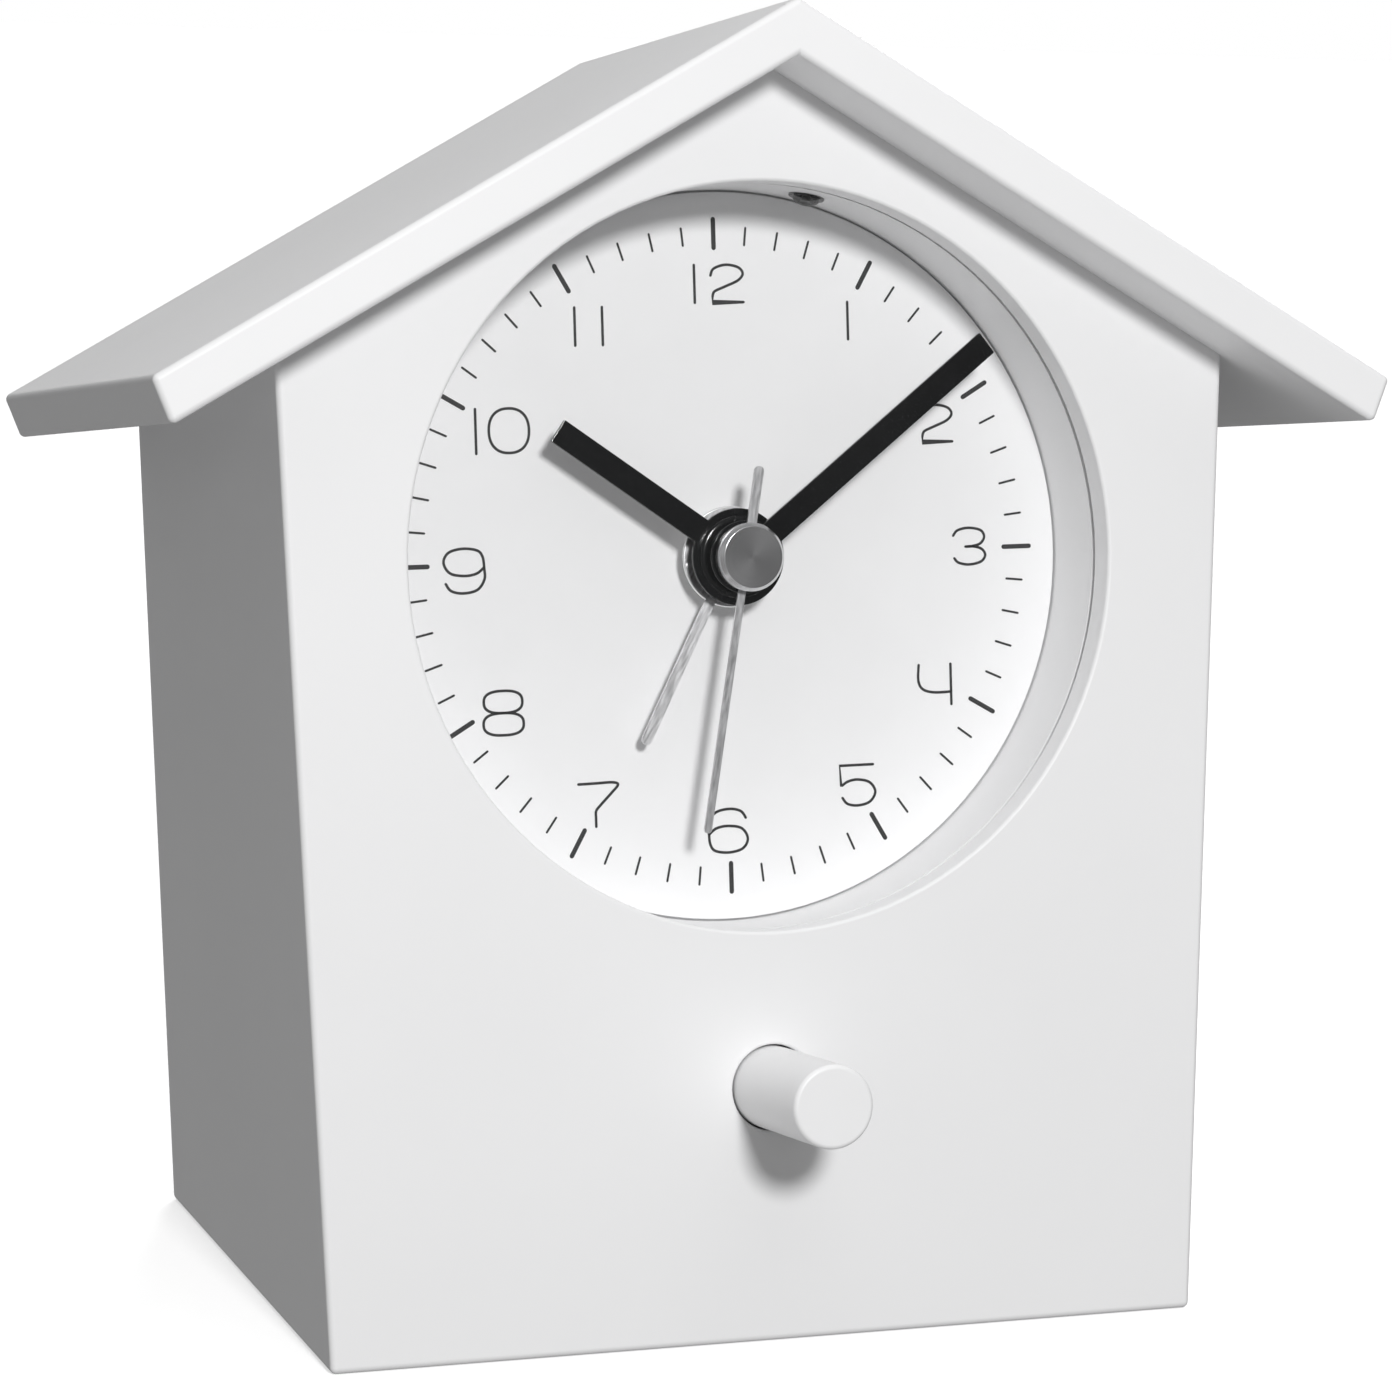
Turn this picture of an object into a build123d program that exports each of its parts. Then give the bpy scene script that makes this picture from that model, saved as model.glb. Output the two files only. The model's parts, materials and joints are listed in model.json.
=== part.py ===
"""A quartz alarm clock in a wooden birdhouse case, built as its separate pieces.

The pieces are drawn in the face frame: x to the right, y back into the clock, z up along the
face, with the front of the case at y = 0 and the lowest front edge at z = 0. The base is cut
at an angle, so that the clock leans back on it. stand() turns every piece upright at the end:
+Z up, front towards -Y, origin at the middle of the base's underside. Sizes are millimetres.
"""
import os
from math import cos, radians, sin, tan

from build123d import *

# ---------------------------------------------------------------- driving dimensions
# the wooden case
LEAN = 7.7  # degrees that the face leans back
BASE_WIDTH = 100.0
FLARE = tan(radians(2.5))  # the side walls spread outwards towards the roof
CASE_DEPTH = 68.4  # square to the face, where the base plane starts
BACK_TAPER = tan(radians(2.9))  # the case gets shallower towards the roof
BOARD = 5.0
ROOF_BOARD = 5.3
ROOF_WIDTH = 140.4
ROOF_PITCH = radians(29.7)
ROOF_APEX = 144.3
ROOF_OVERHANG = 10.5  # in front of the face
EAVE_CUT = radians(22)  # how far the ends of the roof boards lean from upright
EDGE_ROUND = 0.7

# the dial and its window
WINDOW_Z = 85.2
WINDOW_R = 40.5
LENS_FRONT = 3.5
LENS_THICK = 0.8
DIAL_DEPTH = 14.3
DIAL_THICK = 0.8
CUP_FLOOR = 1.5
CUP_WALL = 1.6
DIAL_GAP = 0.2  # between the dial plate and the cup's wall
DIAL_TURN = -1.15  # the dial sits a degree anticlockwise
LED_DIRECTION = 78.0  # anticlockwise from +x, so just right of the 12
LED_DEPTH = 9.2

# the hands: clockwise angle on the dial, and depth of each front surface
ALARM_ANGLE, ALARM_FRONT = 207.8, 11.6
HOUR_ANGLE, HOUR_FRONT = 305.0, 9.1
MINUTE_ANGLE, MINUTE_FRONT = 52.2, 7.1
SECOND_ANGLE, SECOND_FRONT = 190.4, 6.55
CAP_FRONT = 4.65
HAND_THICK = 0.5
THIN_HAND = 0.3

# coaxial shafts, inside out: outer radius of each
RUN = 0.06  # running clearance on the radius
ARBOR_R = 0.5
CANNON_R = 1.3
HOUR_TUBE_R = 2.1
ALARM_TUBE_R = 2.9
BUSH_R = 3.6
STEM_R = 1.5

# the movement
CASE_WALL = 1.2
MOVEMENT_FRONT = DIAL_DEPTH + DIAL_THICK + CUP_FLOOR + 0.1
MOVEMENT_SIZE = 56.0
MOVEMENT_THICK = 14.4
MOVEMENT_BACK = MOVEMENT_FRONT + MOVEMENT_THICK
POST_BACK = MOVEMENT_FRONT + 5.9  # the cup's posts that the movement's ears sit on
EAR_THICK = 1.2
WHEEL = 0.8  # thickness of a wheel's rim
LAYER = 1.4  # from one layer of wheels to the next
FIRST_LAYER = MOVEMENT_FRONT + CASE_WALL + 0.3
MOTION_MODULE = 0.45
TRAIN_MODULE = 0.4

# the perch, which is the push button
PERCH_Z = 27.7
PERCH_R = 4.5
PERCH_REACH = 17.5
PERCH_TRAVEL = 1.6
HOUSING_R = 9.0
CAVITY_R = 6.7
HOUSING_FRONT = BOARD + 0.1
HOUSING_BACK = 19.1

# the back
COVER_FRONT = 55.5
COVER_THICK = 2.4
COVER_BACK = COVER_FRONT + COVER_THICK
COVER_GAP = 0.3
CELL_R = 7.2
CELL_LENGTH = 49.2
NUB_R, NUB_LENGTH = 2.7, 1.0
CELL_PITCH = 15.2
CELL_COUNT = 3
POCKET_HALF = 27.6
POCKET_WALL = 1.6
POCKET_BOTTOM = 17.7
POCKET_TOP = POCKET_BOTTOM + CELL_COUNT * CELL_PITCH
POCKET_FLOOR = COVER_BACK - 2 * CELL_R - 0.7
DOOR_THICK = 1.6
DOOR_FRONT = COVER_BACK + 0.1
HINGE_DEPTH = COVER_BACK + 1.4
HINGE_Z = 15.7
KNOB_R = 5.5
KNOB_FRONT = COVER_BACK + 0.6
KNOB_BACK = KNOB_FRONT + 6.2
SPEAKER_Z = 108.0
SPEAKER_R = 18.0
VOLUME_AT = (33.5, 86.0)
SWITCH_AT = (-33.5, 90.0)

# the circuit board
PCB_FRONT = 34.5
PCB_THICK = 1.6
PCB_Z = 39.0
PCB_SIZE = (58.0, 36.0)

# small self-tapping screw
SCREW_R = 1.1
SCREW_HEAD_R = 2.0
SCREW_HEAD = 1.3
SCREW_LENGTH = 6.0

ROOF_SLOPE = tan(ROOF_PITCH)
CEILING = ROOF_APEX - ROOF_BOARD / cos(ROOF_PITCH)  # underside of the ridge
BASE_RISE = tan(radians(LEAN))  # how fast the base plane rises with depth
BASE_TOP = BOARD / cos(radians(LEAN))  # top of the base board over the base plane
BASE_DEPTH = CASE_DEPTH / (1 + BACK_TAPER * BASE_RISE)  # where the back meets the base


# ---------------------------------------------------------------- drawing helpers
def slab(sketch, front, back):
    """A sketch, drawn as seen from the front, made solid from one depth to another."""
    at_back = Plane(origin=(0, back, 0), x_dir=(1, 0, 0), z_dir=(0, -1, 0))
    return extrude(at_back * sketch, amount=back - front)


def outline(*points):
    """A closed face with straight sides."""
    return make_face(Polyline(*points, close=True))


def rod(radius, front, back, x=0.0, z=WINDOW_Z):
    """A round bar along the depth."""
    return slab(Pos(x, z) * Circle(radius), front, back)


def tube(radius, bore, front, back, x=0.0, z=WINDOW_Z):
    """A round bar with a hole along it."""
    return rod(radius, front, back, x, z) - rod(bore, front, back, x, z)


def block(x_low, x_high, front, back, z_low, z_high):
    """A plain box given by its limits."""
    size = (x_high - x_low, back - front, z_high - z_low)
    middle = ((x_low + x_high) / 2, (front + back) / 2, (z_low + z_high) / 2)
    return Pos(*middle) * Box(*size)


def turned(points, x=0.0, z=WINDOW_Z):
    """A solid turned about the depth axis from (radius, depth) points."""
    return Pos(x, 0, z) * revolve(outline(*points), Axis.Y)


def polar(radius, degrees_ccw, x=0.0, z=0.0):
    """A point seen from the front, by radius and anticlockwise angle from +x."""
    angle = radians(degrees_ccw)
    return x + radius * cos(angle), z + radius * sin(angle)


def joined(parts):
    """Several solids fused into one piece."""
    parts = list(parts)
    return parts[0].fuse(*parts[1:]) if len(parts) > 1 else parts[0]


def group(parts):
    """Several separate solids in one node."""
    return Compound(children=list(parts))


def coil_spring(radius, wire, length, turns):
    """A helical spring along +Z from the origin."""
    path = Helix(pitch=length / turns, height=length, radius=radius)
    section = Plane(origin=path @ 0, z_dir=path % 0) * Circle(wire)
    return sweep(section, path=path)


def along_depth(x, depth, z):
    """Where a piece drawn along +Z goes when it has to run back into the clock."""
    return Location(Plane(origin=(x, depth, z), x_dir=(1, 0, 0), z_dir=(0, 1, 0)))


# ---------------------------------------------------------------- the wooden case
def gable(half_width, lift=0.0, bottom=-5.0):
    """The case's five-sided outline, with its top lowered by lift."""
    top = CEILING - lift
    eaves = (top - ROOF_SLOPE * half_width) / (1 + ROOF_SLOPE * FLARE)
    low, high = half_width + FLARE * bottom, half_width + FLARE * eaves
    return outline((-low, bottom), (low, bottom), (high, eaves), (0, top), (-high, eaves))


def base_plane(lift=0.0):
    """The plane that the clock stands on, or one above it."""
    lean = radians(LEAN)
    return Plane(origin=(0, 0, lift), x_dir=(1, 0, 0), z_dir=(0, -sin(lean), cos(lean)))


def above_base(solid, lift=0.0):
    return split(solid, bisect_by=base_plane(lift), keep=Keep.TOP)


def inside_back(solid):
    """The part of a solid in front of the plane through the back edges of the boards."""
    back = Plane(origin=(0, CASE_DEPTH, 0), x_dir=(1, 0, 0), z_dir=(0, 1, BACK_TAPER))
    return split(solid, bisect_by=back, keep=Keep.BOTTOM)


def case_block():
    """The whole case outside the roof as one block, with its free edges rounded."""
    whole = inside_back(above_base(slab(gable(BASE_WIDTH / 2), 0, CASE_DEPTH)))

    def is_free(edge):
        middle = edge.center()
        return middle.Z < CEILING - ROOF_SLOPE * abs(middle.X) - 1
    return fillet([e for e in whole.edges() if is_free(e)], EDGE_ROUND)


def case_inside(front, back, gap=0.0):
    """The room between the side walls and under the roof."""
    return slab(gable(BASE_WIDTH / 2 - BOARD - gap, lift=gap), front, back)


def make_front_panel(case):
    panel = split(case, bisect_by=Plane(origin=(0, BOARD, 0), z_dir=(0, 1, 0)), keep=Keep.BOTTOM)
    window = rod(WINDOW_R, -1, BOARD + 1)
    rebate = rod(lens_r() + 0.3, LENS_FRONT, BOARD + 1)
    perch_hole = rod(PERCH_R + 0.2, -1, BOARD + 1, 0, PERCH_Z)
    panel = panel - window - rebate - perch_hole
    for x, z in cup_screw_places() + housing_screw_places():
        panel -= rod(SCREW_R, BOARD + 2.1 - SCREW_LENGTH, BOARD + 1, x, z)
    rim = [e for e in panel.edges().filter_by(GeomType.CIRCLE)
           if abs(e.center().Y) < 0.01 and e.radius > PERCH_R]
    return fillet(rim, 0.4)


def make_case_boards(case):
    """Left wall, right wall and base board, all behind the front panel."""
    behind = split(case, bisect_by=Plane(origin=(0, BOARD, 0), z_dir=(0, 1, 0)), keep=Keep.TOP)
    room = case_inside(-1, CASE_DEPTH + 1)
    walls = sorted((behind - room).solids(), key=lambda s: s.center().X)
    between = behind & room
    board = split(between, bisect_by=base_plane(BASE_TOP), keep=Keep.BOTTOM)
    return walls[0], walls[-1], board


def make_roof_boards():
    """Two boards that meet in a mitre on the ridge, rounded together."""
    half = ROOF_WIDTH / 2
    eave = ROOF_APEX - ROOF_SLOPE * half
    end_height = ROOF_BOARD / cos(ROOF_PITCH - EAVE_CUT)
    inner_x = half - end_height * sin(EAVE_CUT)
    inner_z = eave - end_height * cos(EAVE_CUT)
    chevron = outline((0, ROOF_APEX), (half, eave), (inner_x, inner_z), (0, CEILING),
                      (-inner_x, inner_z), (-half, eave))
    roof = inside_back(slab(chevron, -ROOF_OVERHANG, CASE_DEPTH))

    def is_crease(edge):
        middle = edge.center()
        return abs(middle.X) < 0.1 and abs(middle.Z - CEILING) < 0.1
    roof = fillet([e for e in roof.edges() if not is_crease(e)], EDGE_ROUND)
    sides = split(roof, bisect_by=Plane.YZ, keep=Keep.BOTH).solids()
    return sorted(sides, key=lambda s: s.center().X)


def cover_screw_places():
    return [(-41.0, 19.0), (41.0, 19.0), (-44.3, 100.0), (44.3, 100.0)]


def make_cover_blocks():
    """Glued wooden blocks in the corners that take the back cover's screws."""
    half, front, back = 4.5, COVER_FRONT - 11, COVER_FRONT - 0.1
    room = above_base(case_inside(-1, CASE_DEPTH), BASE_TOP)
    made = []
    for x, z in cover_screw_places():
        inner = x - half if x > 0 else x + half
        x_low, x_high = sorted((inner, 2 * x))
        z_low = 0 if z < WINDOW_Z / 2 else z - half
        corner = block(x_low, x_high, front, back, z_low, z + half) & room
        corner -= rod(1.2, back - 8, back + 1, x, z)
        made.append(corner.solids()[0])
    return group(made)


# ---------------------------------------------------------------- lens, dial and cup
def lens_r():
    return WINDOW_R + 1.6


def cup_screw_places():
    return [polar(45.2, a, 0, WINDOW_Z) for a in (4, 176, -55, -125)]


def movement_screw_places():
    return [(x, WINDOW_Z + z) for x in (-31.5, 31.5) for z in (-18.0, 18.0)]


def make_lens():
    disc = rod(lens_r(), LENS_FRONT + 0.05, LENS_FRONT + LENS_THICK)
    return chamfer(disc.edges().filter_by(GeomType.CIRCLE), 0.15)


def led_axis():
    """The LED's place in the cup's wall, pointing at the dial's axis."""
    x, z = polar(WINDOW_R + 0.4, LED_DIRECTION, 0, WINDOW_Z)
    out_x, out_z = polar(1, LED_DIRECTION)
    return Plane(origin=(x, LED_DEPTH, z), x_dir=(0, 1, 0), z_dir=(out_x, 0, out_z))


def make_dial_cup():
    """The ring around the dial, with the floor that carries the dial and the movement."""
    inner, outer = WINDOW_R + 0.05, WINDOW_R + CUP_WALL
    front = LENS_FRONT + LENS_THICK + 0.05
    floor_front = DIAL_DEPTH + DIAL_THICK
    floor_back = floor_front + CUP_FLOOR
    ears = joined(rod(3.0, HOUSING_FRONT, HOUSING_FRONT + 2, x, z)
                  for x, z in cup_screw_places())
    cup = rod(outer, front, floor_back) + rod(44.4, HOUSING_FRONT, HOUSING_FRONT + 2) + ears
    cup -= rod(inner, front - 1, floor_front)
    cup -= rod(5.0, front, floor_back + 1)
    for x, z in movement_screw_places():
        cup += tube(2.6, SCREW_R, floor_front + 0.2, POST_BACK, x, z)
    for x, z in cup_screw_places():
        cup -= rod(SCREW_R + 0.2, 0, MOVEMENT_FRONT, x, z)
    return cup - led_axis() * Cylinder(1.55, 8)


def make_dial_plate():
    return tube(WINDOW_R - DIAL_GAP, BUSH_R + 0.15, DIAL_DEPTH, DIAL_DEPTH + DIAL_THICK)


def make_dial_led():
    """A 3 mm lamp: dome towards the dial's axis, collar outside the cup's wall."""
    profile = outline((0, -1.2), (0, 4.4), (1.5, 4.4), (1.5, 3.2), (1.9, 3.2), (1.9, 2.2),
                      (1.5, 2.2), (1.5, 0.2), (1.2, -0.7), (0.6, -1.1))
    body = revolve(Plane.XZ * profile, Axis.Z)
    legs = [Pos(x, 0, 5.6) * Box(0.5, 0.5, 2.4) for x in (-0.7, 0.7)]
    return Location(led_axis()) * joined([body] + legs)


# ---------------------------------------------------------------- hands
def blade(angle, reach, width, tail=0.0, tail_width=0.0, round_end=False):
    """A hand's outline, pointing at a clockwise dial angle."""
    strip = Pos(0, reach / 2) * Rectangle(width, reach)
    if tail:
        strip += Pos(0, -tail / 2) * Rectangle(tail_width, tail)
    if round_end:
        strip += Pos(0, reach) * Circle(width / 2)
        if tail:
            strip += Pos(0, -tail) * Circle(tail_width / 2)
    return Pos(0, WINDOW_Z) * Rot(0, 0, -(angle + DIAL_TURN)) * strip


def make_hand(sketch, front, thick, hub_r, hub_thick, bore, collar_r=0.0, collar=0.0):
    """A pressed hand: blade, round hub and the collar that grips its tube."""
    made = slab(sketch, front, front + thick) + rod(hub_r, front, front + hub_thick)
    if collar:
        made += rod(collar_r, front + hub_thick, front + hub_thick + collar)
    return made - rod(bore, front - 1, front + hub_thick + collar + 1)


def make_hands():
    alarm = make_hand(blade(ALARM_ANGLE, 22.3, 1.2, round_end=True), ALARM_FRONT, THIN_HAND,
                      5.35, 0.6, ALARM_TUBE_R)
    hour = make_hand(blade(HOUR_ANGLE, 25.0, 2.8), HOUR_FRONT, HAND_THICK,
                     5.35, 0.6, HOUR_TUBE_R, 3.1, 1.0)
    minute = make_hand(blade(MINUTE_ANGLE, 37.4, 2.8), MINUTE_FRONT, HAND_THICK,
                       4.0, 0.6, CANNON_R, 2.3, 0.9)
    second = make_hand(blade(SECOND_ANGLE, 30.1, 0.85, 9.5, 1.1, True), SECOND_FRONT,
                       THIN_HAND, 2.0, THIN_HAND, ARBOR_R)
    return alarm, hour, minute, second


def make_second_cap():
    cap = rod(3.75, CAP_FRONT, SECOND_FRONT)
    cap = chamfer(cap.faces().sort_by(Axis.Y)[0].edges(), 0.25)
    return cap - rod(ARBOR_R, CAP_FRONT + 0.8, SECOND_FRONT + 1)


# ---------------------------------------------------------------- wheels
ADDENDUM, DEDENDUM = 0.75, 1.15  # tooth height over and under the pitch circle, in modules
ROOT_SHARE, TIP_SHARE = 0.27, 0.09  # half a tooth's width at root and tip, in pitches


def layer(number):
    """Front of one layer of wheels, counted from the movement's front plate."""
    return FIRST_LAYER + LAYER * number


def tooth_outline(teeth, module, phase):
    """A wheel's outline. One tooth is centred at the anticlockwise angle phase."""
    pitch_r = teeth * module / 2
    tip_r, root_r = pitch_r + ADDENDUM * module, pitch_r - DEDENDUM * module
    points = []
    for number in range(teeth):
        middle = phase + 360 * number / teeth
        root_half, tip_half = ROOT_SHARE * 360 / teeth, TIP_SHARE * 360 / teeth
        points += [polar(root_r, middle - root_half), polar(tip_r, middle - tip_half),
                   polar(tip_r, middle + tip_half), polar(root_r, middle + root_half)]
    return outline(*points)


def gear(teeth, module, phase, front, back, at):
    x, z = at
    return slab(Pos(x, z) * tooth_outline(teeth, module, phase), front, back)


def meshed_phase(phase, teeth, direction, other_teeth):
    """The phase that puts another wheel in mesh with this one, in that direction from it."""
    return direction + 180 - (phase - direction) * teeth / other_teeth - 180 / other_teeth


# tooth counts: each pair is (driver, driven)
CANNON_TEETH, MOTION_TEETH = 10, 30
MOTION_PINION_TEETH, HOUR_TEETH = 8, 32
SETTING_TEETH = 20
ALARM_SETTING_TEETH, ALARM_TEETH = 32, 32
ROTOR_TEETH, INTERMEDIATE_TEETH = 8, 40
INTERMEDIATE_PINION_TEETH, SECOND_TEETH = 8, 48
SECOND_PINION_TEETH, THIRD_TEETH = 8, 60
THIRD_PINION_TEETH, CENTRE_TEETH = 8, 64

CENTRE = (0.0, WINDOW_Z)
MOTION_DIRECTION = 0.0
SETTING_DIRECTION = -60.0
ALARM_SETTING_DIRECTION = 200.0
THIRD_DIRECTION = 120.0
INTERMEDIATE_DIRECTION = -90.0
ROTOR_DIRECTION = -150.0


def spacing(teeth, other_teeth, module):
    return (teeth + other_teeth) * module / 2


MOTION_AT = polar(spacing(CANNON_TEETH, MOTION_TEETH, MOTION_MODULE), MOTION_DIRECTION, *CENTRE)
SETTING_AT = polar(spacing(MOTION_TEETH, SETTING_TEETH, MOTION_MODULE), SETTING_DIRECTION,
                   *MOTION_AT)
ALARM_SETTING_AT = polar(spacing(ALARM_SETTING_TEETH, ALARM_TEETH, MOTION_MODULE),
                         ALARM_SETTING_DIRECTION, *CENTRE)
THIRD_SPACING = spacing(SECOND_PINION_TEETH, THIRD_TEETH, TRAIN_MODULE)
THIRD_AT = polar(THIRD_SPACING, THIRD_DIRECTION, *CENTRE)
CENTRE_MODULE = 2 * THIRD_SPACING / (THIRD_PINION_TEETH + CENTRE_TEETH)
INTERMEDIATE_AT = polar(spacing(INTERMEDIATE_PINION_TEETH, SECOND_TEETH, TRAIN_MODULE),
                        INTERMEDIATE_DIRECTION, *CENTRE)
ROTOR_AT = polar(spacing(ROTOR_TEETH, INTERMEDIATE_TEETH, TRAIN_MODULE), ROTOR_DIRECTION,
                 *INTERMEDIATE_AT)


def arbor_wheel(wheel, pinion, at, wheel_layer, pinion_layer, bore):
    """A wheel and its pinion in one piece. Each of the two is (teeth, module, phase)."""
    pinion_front = layer(pinion_layer)
    wheel_front = layer(wheel_layer)
    ends = sorted((pinion_front, wheel_front))
    made = gear(*wheel, wheel_front, wheel_front + WHEEL, at)
    made += gear(*pinion, pinion_front - 0.1, ends[1], at) if pinion_front < wheel_front \
        else gear(*pinion, ends[0] + WHEEL, pinion_front + WHEEL + 0.1, at)
    return made - rod(bore, ends[0] - 1, ends[1] + 2, *at)


def make_motion_work():
    """Cannon pinion, motion wheel, hour wheel and the time setting gear with its stem."""
    cannon = gear(CANNON_TEETH, MOTION_MODULE, 0, layer(2) - 0.1, layer(2) + WHEEL + 0.1, CENTRE)
    cannon += rod(CANNON_R, MINUTE_FRONT, layer(3) + WHEEL + 0.3)
    cannon -= rod(ARBOR_R + RUN, 0, MOVEMENT_BACK)
    motion_phase = meshed_phase(0, CANNON_TEETH, MOTION_DIRECTION, MOTION_TEETH)
    motion = arbor_wheel((MOTION_TEETH, MOTION_MODULE, motion_phase),
                         (MOTION_PINION_TEETH, MOTION_MODULE, 0), MOTION_AT, 2, 1, 0.8 + RUN)
    hour_phase = meshed_phase(0, MOTION_PINION_TEETH, MOTION_DIRECTION + 180, HOUR_TEETH)
    hour = gear(HOUR_TEETH, MOTION_MODULE, hour_phase, layer(1), layer(1) + WHEEL, CENTRE)
    hour += rod(HOUR_TUBE_R, HOUR_FRONT, layer(1) + WHEEL)
    hour -= rod(CANNON_R + RUN, 0, MOVEMENT_BACK)
    setting_phase = meshed_phase(motion_phase, MOTION_TEETH, SETTING_DIRECTION, SETTING_TEETH)
    setting = gear(SETTING_TEETH, MOTION_MODULE, setting_phase, layer(2), layer(2) + WHEEL,
                   SETTING_AT)
    setting += rod(STEM_R, layer(2), KNOB_BACK - 1, *SETTING_AT)
    return cannon, motion, hour, setting


def make_alarm_work():
    """Alarm wheel, and the alarm setting gear with its stem."""
    phase = meshed_phase(0, ALARM_TEETH, ALARM_SETTING_DIRECTION, ALARM_SETTING_TEETH)
    wheel = gear(ALARM_TEETH, MOTION_MODULE, 0, layer(0), layer(0) + WHEEL, CENTRE)
    wheel += rod(ALARM_TUBE_R, ALARM_FRONT, layer(0) + WHEEL)
    wheel -= rod(HOUR_TUBE_R + RUN, 0, MOVEMENT_BACK)
    setting = gear(ALARM_SETTING_TEETH, MOTION_MODULE, phase, layer(0), layer(0) + WHEEL,
                   ALARM_SETTING_AT)
    setting += rod(STEM_R, layer(0), KNOB_BACK - 1, *ALARM_SETTING_AT)
    return wheel, setting


def make_seconds_train():
    """Second wheel, third wheel, centre wheel, intermediate wheel and rotor pinion."""
    second = gear(SECOND_TEETH, TRAIN_MODULE, 0, layer(5), layer(5) + WHEEL, CENTRE)
    second += gear(SECOND_PINION_TEETH, TRAIN_MODULE, 0, layer(4) - 0.1, layer(5), CENTRE)
    second += rod(ARBOR_R, CAP_FRONT + 0.8, MOVEMENT_BACK - CASE_WALL - 0.2)
    third_phase = meshed_phase(0, SECOND_PINION_TEETH, THIRD_DIRECTION, THIRD_TEETH)
    third = arbor_wheel((THIRD_TEETH, TRAIN_MODULE, third_phase),
                        (THIRD_PINION_TEETH, CENTRE_MODULE, 0), THIRD_AT, 4, 3, 0.6 + RUN)
    centre_phase = meshed_phase(0, THIRD_PINION_TEETH, THIRD_DIRECTION + 180, CENTRE_TEETH)
    centre = gear(CENTRE_TEETH, CENTRE_MODULE, centre_phase, layer(3), layer(3) + WHEEL, CENTRE)
    centre -= rod(CANNON_R + RUN, 0, MOVEMENT_BACK)
    pinion_phase = meshed_phase(0, SECOND_TEETH, INTERMEDIATE_DIRECTION,
                                INTERMEDIATE_PINION_TEETH)
    intermediate = arbor_wheel((INTERMEDIATE_TEETH, TRAIN_MODULE, 0),
                               (INTERMEDIATE_PINION_TEETH, TRAIN_MODULE, pinion_phase),
                               INTERMEDIATE_AT, 6, 5, 0.6 + RUN)
    rotor_phase = meshed_phase(0, INTERMEDIATE_TEETH, ROTOR_DIRECTION, ROTOR_TEETH)
    rotor = gear(ROTOR_TEETH, TRAIN_MODULE, rotor_phase, layer(6) - 0.1, layer(7) + 1.2,
                 ROTOR_AT)
    rotor -= rod(0.5 + RUN, 0, MOVEMENT_BACK, *ROTOR_AT)
    return second, third, centre, intermediate, rotor


# ---------------------------------------------------------------- movement case and motor
def movement_outline(inset=0.0):
    size = MOVEMENT_SIZE - 2 * inset
    return Pos(*CENTRE) * RectangleRounded(size, size, 4 - inset)


def case_half(plate_front, plate_back, rim_front, rim_back):
    """One half of the movement's case: a plate and a rim."""
    rim = slab(movement_outline() - movement_outline(CASE_WALL), rim_front, rim_back)
    return slab(movement_outline(), plate_front, plate_back) + rim


def make_movement_case():
    split_depth = layer(4) + 0.1
    plate_back = MOVEMENT_FRONT + CASE_WALL
    rear_plate = MOVEMENT_BACK - CASE_WALL
    front = case_half(MOVEMENT_FRONT, plate_back, plate_back, split_depth)
    ear_front = POST_BACK + 0.05
    ear_back = ear_front + EAR_THICK
    for x, z in movement_screw_places():
        x_low, x_high = sorted((x, 0.87 * x))
        front += rod(2.6, ear_front, ear_back, x, z)
        front += block(x_low, x_high, ear_front, ear_back, z - 2.6, z + 2.6)
        front -= rod(SCREW_R + 0.1, ear_front - 1, ear_back + 1, x, z)
    front += rod(BUSH_R, DIAL_DEPTH - 1.4, plate_back)
    front -= rod(ALARM_TUBE_R + RUN, 0, MOVEMENT_BACK)
    front += rod(0.8, plate_back, layer(2) + WHEEL + 0.2, *MOTION_AT)
    front += rod(0.6, plate_back, layer(4) + WHEEL + 0.2, *THIRD_AT)
    rear = case_half(rear_plate, MOVEMENT_BACK, split_depth + 0.02, rear_plate)
    rear += rod(1.8, rear_plate - 1.8, rear_plate)
    rear -= rod(ARBOR_R + RUN, rear_plate - 2, rear_plate - 0.1)
    rear += rod(0.6, layer(5) - 0.2, rear_plate, *INTERMEDIATE_AT)
    rear += rod(0.5, layer(6), rear_plate, *ROTOR_AT)
    for at in (SETTING_AT, ALARM_SETTING_AT):
        rear -= rod(STEM_R + RUN, rear_plate - 1, MOVEMENT_BACK + 1, *at)
    return front, rear


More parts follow.
